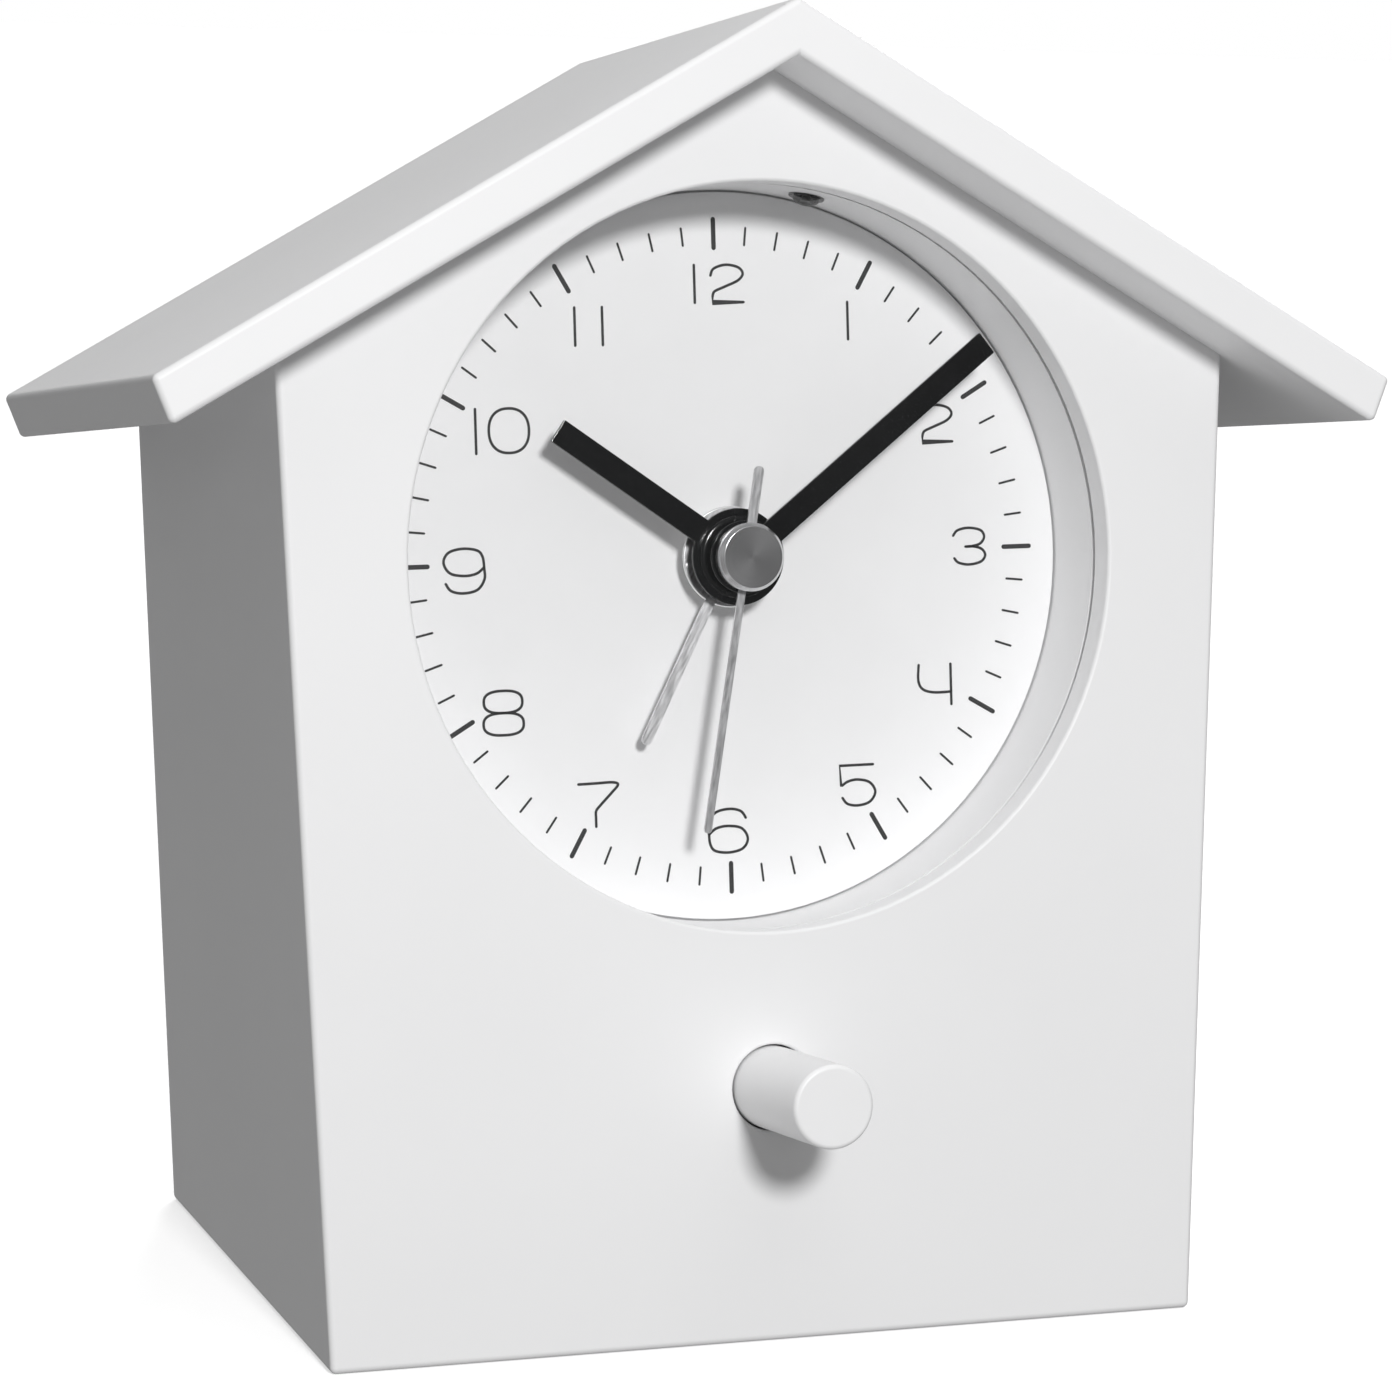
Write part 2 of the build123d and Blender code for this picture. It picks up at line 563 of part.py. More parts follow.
def make_motor():
    """Coil, stator and the rotor's magnet."""
    rotor_x, rotor_z = ROTOR_AT
    core_z = rotor_z - 7.1
    plate_front = layer(7) + 0.1
    bobbin_middle = plate_front - 0.4
    left, right = rotor_x - 11, rotor_x + 15
    stator = block(left, right, plate_front, plate_front + 0.8, rotor_z - 3.8, rotor_z + 3.6)
    for x in (left, right - 3):
        stator += block(x, x + 3, plate_front, plate_front + 0.8, core_z - 1, rotor_z)
    core = block(left, right, plate_front - 0.8, plate_front, core_z - 1, core_z + 1)
    stator += core
    stator -= rod(3.4, plate_front - 2, plate_front + 2, rotor_x, rotor_z)

    def wrap(x_low, x_high, half_depth, half_height):
        around = block(x_low, x_high, bobbin_middle - half_depth, bobbin_middle + half_depth,
                       core_z - half_height, core_z + half_height)
        return around - core
    inner_left, inner_right = left + 3.2, right - 3.2
    bobbin = wrap(inner_left, inner_right, 0.8, 1.4)
    bobbin += wrap(inner_left, inner_left + 0.7, 1.5, 2.5)
    bobbin += wrap(inner_right - 0.7, inner_right, 1.5, 2.5)
    winding = Rot(0, 90, 0) * RectangleRounded(4.6, 2.8, 0.9)
    winding = extrude(Pos(inner_left + 0.7, bobbin_middle, core_z) * winding,
                      amount=inner_right - inner_left - 1.4, dir=(1, 0, 0))
    winding -= block(left, right, bobbin_middle - 0.8, bobbin_middle + 0.8,
                     core_z - 1.4, core_z + 1.4)
    magnet_front = layer(7)
    magnet = rod(2.8, magnet_front, magnet_front + 1.2, rotor_x, rotor_z)
    magnet -= rod((ROTOR_TEETH / 2 + ADDENDUM) * TRAIN_MODULE, 0, MOVEMENT_BACK,
                  rotor_x, rotor_z)
    return bobbin, winding, stator, magnet


# ---------------------------------------------------------------- perch button
def make_perch():
    """The round perch: a stick with a stop flange and a stem for the switch."""
    stop = HOUSING_FRONT + 3.55
    stick = rod(PERCH_R, -PERCH_REACH, stop, 0, PERCH_Z)
    tip = stick.faces().sort_by(Axis.Y)[0].edges()
    stick = fillet(tip, 0.5)
    stick += rod(CAVITY_R - 0.3, stop, stop + 1.4, 0, PERCH_Z)
    return stick + rod(1.5, stop + 1.4, HOUSING_BACK - 4.2 - PERCH_TRAVEL - 0.05, 0, PERCH_Z)


def housing_screw_places():
    return [(-11.6, PERCH_Z), (11.6, PERCH_Z)]


def make_button_parts():
    """The sleeve that guides the perch, its spring, and the switch on its small board."""
    bore_end = HOUSING_FRONT + 3.5
    housing = rod(HOUSING_R, HOUSING_FRONT, HOUSING_BACK, 0, PERCH_Z)
    for x, z in housing_screw_places():
        housing += rod(3.0, HOUSING_FRONT, HOUSING_FRONT + 2, x, z)
        housing += block(min(x, x / 2), max(x, x / 2), HOUSING_FRONT, HOUSING_FRONT + 2,
                         z - 3, z + 3)
        housing -= rod(SCREW_R + 0.2, 0, HOUSING_FRONT + 3, x, z)
    housing -= rod(PERCH_R + RUN, 0, bore_end + 0.1, 0, PERCH_Z)
    housing -= rod(CAVITY_R, bore_end, HOUSING_BACK + 1, 0, PERCH_Z)
    flange_back = HOUSING_FRONT + 3.55 + 1.4
    wire = 0.28
    length = HOUSING_BACK - flange_back - 2 * wire - 0.2
    spring = along_depth(0, flange_back + wire + 0.1, PERCH_Z) * coil_spring(5.2, wire, length, 5)
    board = block(-8.5, 8.5, HOUSING_BACK + 0.02, HOUSING_BACK + 1.2, PERCH_Z - 8, PERCH_Z + 8)
    switch = block(-3, 3, HOUSING_BACK - 3.2, HOUSING_BACK, PERCH_Z - 3, PERCH_Z + 3)
    switch += rod(1.7, HOUSING_BACK - 4.2, HOUSING_BACK - 3.2, 0, PERCH_Z)
    return housing, spring, board, switch


# ---------------------------------------------------------------- back cover and batteries
def grille_holes():
    """Rings of round holes over the speaker."""
    holes = [(0.0, SPEAKER_Z)]
    for ring in range(1, 4):
        holes += [polar(4.0 * ring, 360 * n / (6 * ring), 0, SPEAKER_Z) for n in range(6 * ring)]
    return holes


def make_back_cover():
    """The moulded back: plate, battery pocket, speaker rib, board posts and hinge ears."""
    plate = case_inside(COVER_FRONT, COVER_BACK, COVER_GAP)
    floor_z = BASE_RISE * COVER_BACK + BASE_TOP + COVER_GAP
    plate &= block(-80, 80, COVER_FRONT - 1, COVER_BACK + 1, floor_z, 200)
    outer = POCKET_HALF + POCKET_WALL
    cover = plate + block(-outer, outer, POCKET_FLOOR - 1.5, COVER_FRONT,
                          POCKET_BOTTOM - POCKET_WALL, POCKET_TOP + POCKET_WALL)
    cover -= block(-POCKET_HALF, POCKET_HALF, POCKET_FLOOR, COVER_BACK + 1,
                   POCKET_BOTTOM, POCKET_TOP)
    cover += tube(SPEAKER_R + 1.5, SPEAKER_R + 0.05, COVER_FRONT - 5, COVER_FRONT, 0, SPEAKER_Z)
    for x, z in board_screw_places():
        cover += tube(2.4, SCREW_R, PCB_FRONT + PCB_THICK, POCKET_FLOOR - 1.5, x, z)
    for x, z in cover_screw_places():
        cover -= rod(1.7, COVER_FRONT - 1, COVER_BACK + 1, x, z)
    holes = Sketch() + [Pos(x, z) * Circle(0.9) for x, z in grille_holes()]
    cover -= slab(holes, COVER_FRONT - 1, COVER_BACK + 1)
    for at in (SETTING_AT, ALARM_SETTING_AT, VOLUME_AT):
        cover -= rod(STEM_R + RUN, COVER_FRONT - 1, COVER_BACK + 1, *at)
    x, z = SWITCH_AT
    cover -= block(x - 4.3, x + 4.3, COVER_FRONT - 1, COVER_BACK + 1, z - 1.6, z + 1.6)
    cover -= block(-4.4, 4.4, COVER_FRONT - 1, COVER_BACK + 1, POCKET_TOP + 1.9, POCKET_TOP + 3.8)
    for side in (-1, 1):
        low, high = sorted((side * 15.5, side * 19.5))
        cover += block(low, high, COVER_BACK - 0.5, HINGE_DEPTH + 1.3, HINGE_Z - 1.3,
                       HINGE_Z + 1.3)
        pin = Pos(side * 21.0, HINGE_DEPTH, HINGE_Z) * Rot(0, 90, 0) * Cylinder(0.8, 4)
        cover += pin
    return cover


def make_battery_door():
    """A lid hinged along its bottom edge, with a hook that snaps in above the cells."""
    half = POCKET_HALF + 1.8
    top = POCKET_TOP + 4.4
    plate = slab(Pos(0, (top + 19.0) / 2) * RectangleRounded(2 * half, top - 19.0, 2.5),
                 DOOR_FRONT, DOOR_FRONT + DOOR_THICK)
    door = plate + block(-3.8, 3.8, COVER_FRONT - 0.4, DOOR_FRONT + 0.5,
                         POCKET_TOP + 2.2, POCKET_TOP + 3.2)
    door += block(-3.8, 3.8, COVER_FRONT - 0.4, COVER_FRONT - 0.2, POCKET_TOP + 2.2,
                  POCKET_TOP + 3.6)
    for number in range(4):
        z = top - 6.5 + 1.5 * number
        door += block(-7, 7, DOOR_FRONT + DOOR_THICK - 0.2, DOOR_FRONT + DOOR_THICK + 0.5,
                      z - 0.35, z + 0.35)
    for side in (-1, 1):
        low, high = sorted((side * 20.0, side * 28.0))
        barrel = Pos(side * 24.0, HINGE_DEPTH, HINGE_Z) * Rot(0, 90, 0) * Cylinder(1.3, 8)
        arm = block(low, high, DOOR_FRONT, HINGE_DEPTH + 0.3, HINGE_Z, 21)
        bore = Pos(side * 21.5, HINGE_DEPTH, HINGE_Z) * Rot(0, 90, 0) * Cylinder(0.8 + RUN, 5)
        door += barrel + arm
        door -= bore
    return door


def cell_heights():
    return [POCKET_BOTTOM + CELL_PITCH * (n + 0.5) for n in range(CELL_COUNT)]


def cell_ways():
    """Which way each cell points, so that they are in series."""
    return [1 if n % 2 == 0 else -1 for n in range(CELL_COUNT)]


CELL_DEPTH = POCKET_FLOOR + CELL_R + 0.25
PLATE_METAL = 0.4


def make_cells():
    made = []
    for z, way in zip(cell_heights(), cell_ways()):
        end = way * (POCKET_HALF - PLATE_METAL)
        nub = Pos(end - way * NUB_LENGTH / 2, CELL_DEPTH, z) * Rot(0, 90, 0)
        can = Pos(end - way * (NUB_LENGTH + CELL_LENGTH / 2), CELL_DEPTH, z) * Rot(0, 90, 0)
        made.append(can * Cylinder(CELL_R, CELL_LENGTH) + nub * Cylinder(NUB_R, NUB_LENGTH))
    return group(made)


def make_battery_plates():
    made = []
    for z, way in zip(cell_heights(), cell_ways()):
        edge = way * POCKET_HALF
        low, high = sorted((edge, edge - way * PLATE_METAL))
        made.append(block(low, high, CELL_DEPTH - 5, CELL_DEPTH + 5, z - 5, z + 5))
    return group(made)


def make_battery_springs():
    """The coil on each cell's flat end, on its own square of metal."""
    room = 2 * POCKET_HALF - 2 * PLATE_METAL - CELL_LENGTH - NUB_LENGTH
    wire = 0.3
    made = []
    for z, way in zip(cell_heights(), cell_ways()):
        edge = -way * POCKET_HALF
        low, high = sorted((edge, edge + way * PLATE_METAL))
        square = block(low, high, CELL_DEPTH - 5, CELL_DEPTH + 5, z - 5, z + 5)
        coil = coil_spring(3.4, wire, room - 2 * wire, 3)
        start = edge + way * (PLATE_METAL + wire - 0.1)
        coil = Pos(start, CELL_DEPTH, z) * Rot(0, 90 * way, 0) * coil
        made.append(square + coil)
    return group(made)


def make_knob(at):
    """A ribbed setting knob on the end of its stem."""
    x, z = at
    ribs = Sketch() + [Pos(*polar(KNOB_R - 0.1, 15 * n)) * Circle(0.45) for n in range(24)]
    profile = Circle(KNOB_R - 0.2) + ribs
    knob = slab(Pos(x, z) * profile, KNOB_FRONT + 1.5, KNOB_BACK)
    knob += rod(KNOB_R + 0.3, KNOB_FRONT, KNOB_FRONT + 1.5, x, z)
    return knob - rod(STEM_R, 0, KNOB_BACK - 1, x, z)


# ---------------------------------------------------------------- speaker, volume and switch
def make_speaker():
    back = COVER_FRONT - 0.1
    frame = turned([(15.6, back), (SPEAKER_R, back), (SPEAKER_R, back - 1.2), (11.0, back - 7),
                    (9.2, back - 7), (9.2, back - 6), (10.2, back - 6), (15.6, back - 1.6)],
                   0, SPEAKER_Z)
    cone = turned([(15.5, back - 0.4), (15.5, back - 1.4), (6.2, back - 5.2), (0, back - 5.2),
                   (0, back - 3.2), (3.5, back - 3.8), (6.0, back - 4.8), (14.6, back - 0.4)],
                  0, SPEAKER_Z)
    magnet = rod(9.0, back - 12, back - 7.4, 0, SPEAKER_Z)
    magnet += rod(9.0, back - 7.4, back - 5.6, 0, SPEAKER_Z)
    return frame, cone, magnet


def make_volume():
    x, z = VOLUME_AT
    body = tube(6.0, STEM_R + RUN, COVER_FRONT - 6, COVER_FRONT - 0.05, x, z)
    stem = rod(STEM_R, COVER_FRONT - 5.5, KNOB_BACK - 1.2, x, z)
    knob = turned([(0, KNOB_FRONT), (6.0, KNOB_FRONT), (6.0, KNOB_BACK - 1.8),
                   (5.2, KNOB_BACK - 1), (0, KNOB_BACK - 1)], x, z)
    pointer = block(x - 0.4, x + 0.4, KNOB_BACK - 1.5, KNOB_BACK, z + 1.5, z + 5.4)
    return body, knob + stem - pointer


def make_mode_switch():
    """A sound selector: body behind the cover, slider through its slot."""
    x, z = SWITCH_AT
    body = block(x - 6.5, x + 6.5, COVER_FRONT - 5, COVER_FRONT - 0.05, z - 3.2, z + 3.2)
    body -= block(x - 4.6, x + 4.6, COVER_FRONT - 3.5, COVER_FRONT + 1, z - 1.7, z + 1.7)
    slider = block(x - 2.0, x + 2.0, COVER_FRONT - 3.3, COVER_BACK + 1.6, z - 1.4, z + 1.4)
    return body, slider


# ---------------------------------------------------------------- circuit board
def board_screw_places():
    return [(x, PCB_Z + z) for x in (-26.0, 26.0) for z in (-15.0, 15.0)]


def make_electronics():
    wide, high = PCB_SIZE
    board = slab(Pos(0, PCB_Z) * Rectangle(wide, high), PCB_FRONT, PCB_FRONT + PCB_THICK)
    for x, z in board_screw_places():
        board -= rod(SCREW_R + 0.1, PCB_FRONT - 1, PCB_FRONT + 3, x, z)
    chip = block(-5, 5, PCB_FRONT - 2, PCB_FRONT - 0.25, PCB_Z + 1, PCB_Z + 8)
    for number in range(7):
        x = -3.81 + 1.27 * number
        chip += block(x - 0.2, x + 0.2, PCB_FRONT - 0.9, PCB_FRONT, PCB_Z - 0.3, PCB_Z + 9.3)
    crystal = Pos(14, PCB_FRONT - 1.6, PCB_Z + 5) * Cylinder(1.5, 8)
    crystal += block(13.5, 14.5, PCB_FRONT - 0.6, PCB_FRONT, PCB_Z + 2, PCB_Z + 8)
    caps = [rod(3.1, PCB_FRONT - 7, PCB_FRONT, x, PCB_Z - 9) for x in (-15.0, -7.0, 9.0)]
    return board, chip, crystal, group(caps)


# ---------------------------------------------------------------- screws
def screw(x, z, grip, thread_to, head_r=SCREW_HEAD_R, shank_r=SCREW_R, length=SCREW_LENGTH):
    """A pan-head screw with its head against depth grip, pointing towards thread_to."""
    way = 1 if thread_to > grip else -1
    head_ends = sorted((grip, grip - way * SCREW_HEAD))
    shank_ends = sorted((grip, grip + way * length))
    made = rod(head_r, *head_ends, x, z) + rod(shank_r, *shank_ends, x, z)
    slot_ends = sorted((grip - way * SCREW_HEAD, grip - way * (SCREW_HEAD - 0.5)))
    cross = [(0.25, 1.3), (1.3, 0.25)]
    for half_x, half_z in cross:
        made -= block(x - half_x, x + half_x, *slot_ends, z - half_z, z + half_z)
    return made


def make_small_screws():
    flange_back = HOUSING_FRONT + 2
    ear_back = POST_BACK + 0.05 + EAR_THICK
    places = [(x, z, flange_back, 0) for x, z in cup_screw_places() + housing_screw_places()]
    places += [(x, z, ear_back, 0) for x, z in movement_screw_places()]
    places += [(x, z, PCB_FRONT, CASE_DEPTH) for x, z in board_screw_places()]
    return group(screw(*place) for place in places)


def make_cover_screws():
    return group(screw(x, z, COVER_BACK, 0, 2.8, 1.2, 10.0) for x, z in cover_screw_places())


# ---------------------------------------------------------------- assembly
def make_all():
    case = case_block()
    nodes = {"front_panel": make_front_panel(case)}
    nodes["left_wall"], nodes["right_wall"], nodes["base_board"] = make_case_boards(case)
    nodes["left_roof_board"], nodes["right_roof_board"] = make_roof_boards()
    nodes["cover_blocks"] = make_cover_blocks()
    nodes["lens"] = make_lens()
    nodes["dial_cup"] = make_dial_cup()
    nodes["dial_plate"] = make_dial_plate()
    nodes["dial_led"] = make_dial_led()
    hands = make_hands()
    for name, hand in zip(("alarm_hand", "hour_hand", "minute_hand", "second_hand"), hands):
        nodes[name] = hand
    nodes["second_hand_cap"] = make_second_cap()
    wheels = make_motion_work() + make_alarm_work() + make_seconds_train()
    names = ("cannon_pinion", "motion_wheel", "hour_wheel", "time_setting_gear", "alarm_wheel",
             "alarm_setting_gear", "second_wheel", "third_wheel", "centre_wheel",
             "intermediate_wheel", "rotor_pinion")
    nodes.update(zip(names, wheels))
    nodes["movement_front_case"], nodes["movement_rear_case"] = make_movement_case()
    motor = make_motor()
    nodes.update(zip(("coil_bobbin", "coil_winding", "stator", "rotor_magnet"), motor))
    nodes["time_knob"] = make_knob(SETTING_AT)
    nodes["alarm_knob"] = make_knob(ALARM_SETTING_AT)
    nodes["perch_button"] = make_perch()
    button = make_button_parts()
    nodes.update(zip(("button_housing", "return_spring", "button_board", "tactile_switch"), button))
    nodes["back_cover"] = make_back_cover()
    nodes["back_cover_screws"] = make_cover_screws()
    nodes["battery_door"] = make_battery_door()
    nodes["aa_cells"] = make_cells()
    nodes["battery_plates"] = make_battery_plates()
    nodes["battery_springs"] = make_battery_springs()
    nodes.update(zip(("speaker_frame", "speaker_cone", "speaker_magnet"), make_speaker()))
    nodes["volume_pot"], nodes["volume_knob"] = make_volume()
    nodes["mode_switch_body"], nodes["mode_switch_slider"] = make_mode_switch()
    electronics = make_electronics()
    nodes.update(zip(("main_board", "sound_chip", "quartz_crystal", "board_capacitors"),
                     electronics))
    nodes["small_screws"] = make_small_screws()
    return nodes


def stand(piece):
    """Turn a piece from the face frame to the way the clock stands."""
    half_base = BASE_DEPTH / cos(radians(LEAN)) / 2
    return Pos(0, -half_base, 0) * Rot(-LEAN, 0, 0) * piece


def main():
    os.makedirs("parts", exist_ok=True)
    for name, piece in make_all().items():
        export_step(stand(piece), f"parts/{name}.step")


main()
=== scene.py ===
"""The looks of a white birdhouse-shaped alarm clock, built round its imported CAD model.

Everything is in metres in the CAD frame. The face leans back, so the pieces on it are drawn in
their own frame: x across, y up along the face, z out towards the reader of the clock.
"""

import json
from math import cos, pi, radians, sin

import bmesh
import bpy
from mathutils import Matrix, Quaternion, Vector


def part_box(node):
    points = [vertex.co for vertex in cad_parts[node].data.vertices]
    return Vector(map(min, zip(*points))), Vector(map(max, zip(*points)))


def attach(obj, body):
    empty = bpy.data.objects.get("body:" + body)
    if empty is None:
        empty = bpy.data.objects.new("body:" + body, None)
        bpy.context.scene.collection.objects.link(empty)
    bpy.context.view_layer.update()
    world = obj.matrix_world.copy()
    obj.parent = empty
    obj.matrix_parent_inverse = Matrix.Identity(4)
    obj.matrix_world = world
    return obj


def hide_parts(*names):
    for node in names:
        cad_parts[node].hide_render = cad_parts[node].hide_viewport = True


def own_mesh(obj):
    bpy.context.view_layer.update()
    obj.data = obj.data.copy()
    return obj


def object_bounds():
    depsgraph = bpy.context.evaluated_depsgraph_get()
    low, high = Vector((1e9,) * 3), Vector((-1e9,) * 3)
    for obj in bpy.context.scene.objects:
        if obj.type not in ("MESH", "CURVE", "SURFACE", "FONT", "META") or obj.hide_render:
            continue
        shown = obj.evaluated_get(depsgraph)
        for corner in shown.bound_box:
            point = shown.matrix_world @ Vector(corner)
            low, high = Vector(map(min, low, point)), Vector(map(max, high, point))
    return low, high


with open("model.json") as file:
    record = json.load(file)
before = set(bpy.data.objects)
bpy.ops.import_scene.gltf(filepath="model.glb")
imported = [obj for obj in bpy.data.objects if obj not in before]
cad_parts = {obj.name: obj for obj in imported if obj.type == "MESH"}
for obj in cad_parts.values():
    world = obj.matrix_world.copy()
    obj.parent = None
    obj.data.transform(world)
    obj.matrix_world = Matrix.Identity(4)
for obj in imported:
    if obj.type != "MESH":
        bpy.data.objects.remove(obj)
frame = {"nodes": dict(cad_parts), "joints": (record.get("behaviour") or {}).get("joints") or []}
cad_low, cad_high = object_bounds()

MM = 0.001
NODES = frame["nodes"]
JOINTS = {joint["name"]: joint for joint in frame["joints"]}


# ---------------------------------------------------------------- places on the face

ACROSS = Vector((1, 0, 0))
INWARD = Vector(JOINTS["minute_turn"]["axis"]).normalized()
UPWARD = ACROSS.cross(INWARD)
HAND_AXIS = Vector(JOINTS["minute_turn"]["pos_m"])


def extent(node, direction):
    """How far a CAD node reaches along a direction: its least and greatest distance."""
    places = [vertex.co.dot(direction) for vertex in NODES[node].data.vertices]
    return min(places), max(places)


def depth_range(node):
    """The front and the back of a CAD node, measured along the hands' axis."""
    return extent(node, INWARD)


def on_axis(depth):
    """The point of the hands' axis at a depth."""
    return HAND_AXIS + INWARD * (depth - HAND_AXIS.dot(INWARD))


def face_frame(origin):
    """A frame on the face: x across, y up, z outwards."""
    axes = Matrix((ACROSS, UPWARD, -INWARD)).transposed().to_4x4()
    return Matrix.Translation(origin) @ axes


DIAL_FRONT = on_axis(depth_range("dial_plate")[0])


# ---------------------------------------------------------------- materials

def add_node(tree, kind, inputs=None, **settings):
    """Adds a shader node with its settings and unlinked input values."""
    node = tree.nodes.new(kind)
    for name, value in settings.items():
        setattr(node, name, value)
    for name, value in (inputs or {}).items():
        node.inputs[name].default_value = value
    return node


def new_finish(name, shader_inputs):
    """A node material with just the Principled shader, whose uniform values are set on it.

    An input's name may have underscores for its spaces.
    """
    material = bpy.data.materials.new(name)
    material.use_nodes = True
    tree = material.node_tree
    shader = next(n for n in tree.nodes if n.type == "BSDF_PRINCIPLED")
    for socket, value in shader_inputs.items():
        shader.inputs[socket.replace("_", " ")].default_value = value
    return material, tree, shader


def object_coordinates(tree):
    """The object's own coordinates, in metres."""
    return add_node(tree, "ShaderNodeTexCoord").outputs["Object"]


def noise(tree, vector, size, detail=4.0):
    """Noise whose features are about one size, in metres."""
    texture = add_node(tree, "ShaderNodeTexNoise", {"Scale": 1 / size, "Detail": detail})
    tree.links.new(vector, texture.inputs["Vector"])
    return texture.outputs["Fac"]


def colour_between(tree, factor, dark, light, low=0.3, high=0.7):
    """A colour that runs from dark to light as the factor rises."""
    ramp = add_node(tree, "ShaderNodeValToRGB")
    ramp.color_ramp.elements[0].position = low
    ramp.color_ramp.elements[0].color = (*dark, 1)
    ramp.color_ramp.elements[1].position = high
    ramp.color_ramp.elements[1].color = (*light, 1)
    tree.links.new(factor, ramp.inputs["Fac"])
    return ramp.outputs["Color"]


def value_between(tree, factor, low, high):
    """A number that runs from low to high as the factor goes from 0.3 to 0.7."""
    spread = add_node(tree, "ShaderNodeMapRange", {
        "From Min": 0.3, "From Max": 0.7, "To Min": low, "To Max": high})
    tree.links.new(factor, spread.inputs["Value"])
    return spread.outputs["Result"]


def relief(tree, shader, factor, height):
    """Raises the surface by the factor, up to a height in metres."""
    bump = add_node(tree, "ShaderNodeBump", {"Strength": 1.0, "Distance": height})
    tree.links.new(factor, bump.inputs["Height"])
    tree.links.new(bump.outputs["Normal"], shader.inputs["Normal"])


def shade(colour, amount):
    """The same colour, lighter or darker by a share."""
    return tuple(min(1.0, channel * (1 + amount)) for channel in colour)


def moulded(name, colour, vary, rough, patch=9 * MM, grain=1.0 * MM, height=0.01 * MM,
            **shader_inputs):
    """A painted, moulded or cast finish: patchy colour and gloss, and fine relief."""
    material, tree, shader = new_finish(name, shader_inputs)
    vector = object_coordinates(tree)
    patches = noise(tree, vector, patch)
    grains = noise(tree, vector, grain, detail=6.0)
    tint = colour_between(tree, patches, shade(colour, -vary), shade(colour, vary))
    tree.links.new(tint, shader.inputs["Base Color"])
    tree.links.new(value_between(tree, grains, *rough), shader.inputs["Roughness"])
    relief(tree, shader, grains, height)
    return material


def banded(name, dark, light, spacing, rough, height, wobble, **shader_inputs):
    """Stripes that follow each other along x: wood grain, windings or a printed wrap."""
    material, tree, shader = new_finish(name, shader_inputs)
    vector = object_coordinates(tree)
    plain_spacing = 0.314  # metres between the wave texture's bands at a scale of 1
    wave = add_node(tree, "ShaderNodeTexWave", {
        "Scale": plain_spacing / spacing, "Distortion": wobble, "Detail": 3.0,
        "Detail Scale": 1.5}, bands_direction="X")
    tree.links.new(vector, wave.inputs["Vector"])
    tint = colour_between(tree, wave.outputs["Fac"], dark, light, 0.1, 0.9)
    tree.links.new(tint, shader.inputs["Base Color"])
    grains = noise(tree, vector, spacing * 0.6)
    tree.links.new(value_between(tree, grains, *rough), shader.inputs["Roughness"])
    relief(tree, shader, wave.outputs["Fac"], height)
    return material


def brushed(name, colour, rough, direction):
    """Metal brushed one way on the face, as an angle clockwise from the 12."""
    material, tree, shader = new_finish(name, {"Metallic": 1.0})
    stretch = 14  # the streaks' length as a multiple of their width
    mapping = add_node(tree, "ShaderNodeMapping", {
        "Scale": (1, 1, stretch), "Rotation": (0, radians(direction), 0)}, vector_type="TEXTURE")
    tree.links.new(object_coordinates(tree), mapping.inputs["Vector"])
    streaks = noise(tree, mapping.outputs["Vector"], 0.25 * MM, detail=5.0)
    tint = colour_between(tree, streaks, shade(colour, -0.16), shade(colour, 0.2))
    tree.links.new(tint, shader.inputs["Base Color"])
    tree.links.new(value_between(tree, streaks, *rough), shader.inputs["Roughness"])
    relief(tree, shader, streaks, 0.004 * MM)
    return material


def spun_metal(name, colour, rough):
    """Metal turned on a lathe: fine rings round the object's own z axis, and a sweeping glint."""
    material, tree, shader = new_finish(name, {"Metallic": 1.0, "Anisotropic": 0.3})
    flat = add_node(tree, "ShaderNodeVectorMath", {1: (1, 1, 0)}, operation="MULTIPLY")
    radius = add_node(tree, "ShaderNodeVectorMath", operation="LENGTH")
    tree.links.new(object_coordinates(tree), flat.inputs[0])
    tree.links.new(flat.outputs["Vector"], radius.inputs[0])
    rings_per_metre = 14000.0
    rings = add_node(tree, "ShaderNodeTexNoise", {"Scale": rings_per_metre, "Detail": 3.0},
                     noise_dimensions="1D")
    tree.links.new(radius.outputs["Value"], rings.inputs["W"])
    tint = colour_between(tree, rings.outputs["Fac"], shade(colour, -0.12), shade(colour, 0.12))
    tree.links.new(tint, shader.inputs["Base Color"])
    spread = value_between(tree, rings.outputs["Fac"], *rough)
    tree.links.new(spread, shader.inputs["Roughness"])
    relief(tree, shader, rings.outputs["Fac"], 0.004 * MM)
    tangent = add_node(tree, "ShaderNodeTangent", direction_type="RADIAL", axis="Z")
    tree.links.new(tangent.outputs["Tangent"], shader.inputs["Tangent"])
    return material


def clear(name, colour, haze, rough, **shader_inputs):
    """Clear plastic that light passes straight through, with faint smears on it."""
    material, tree, shader = new_finish(name, shader_inputs)
    vector = object_coordinates(tree)
    smears = noise(tree, vector, 14 * MM)
    tint = colour_between(tree, smears, shade(colour, -0.02), colour)
    tree.links.new(tint, shader.inputs["Base Color"])
    tree.links.new(value_between(tree, smears, *haze), shader.inputs["Alpha"])
    tree.links.new(value_between(tree, smears, *rough), shader.inputs["Roughness"])
    return material


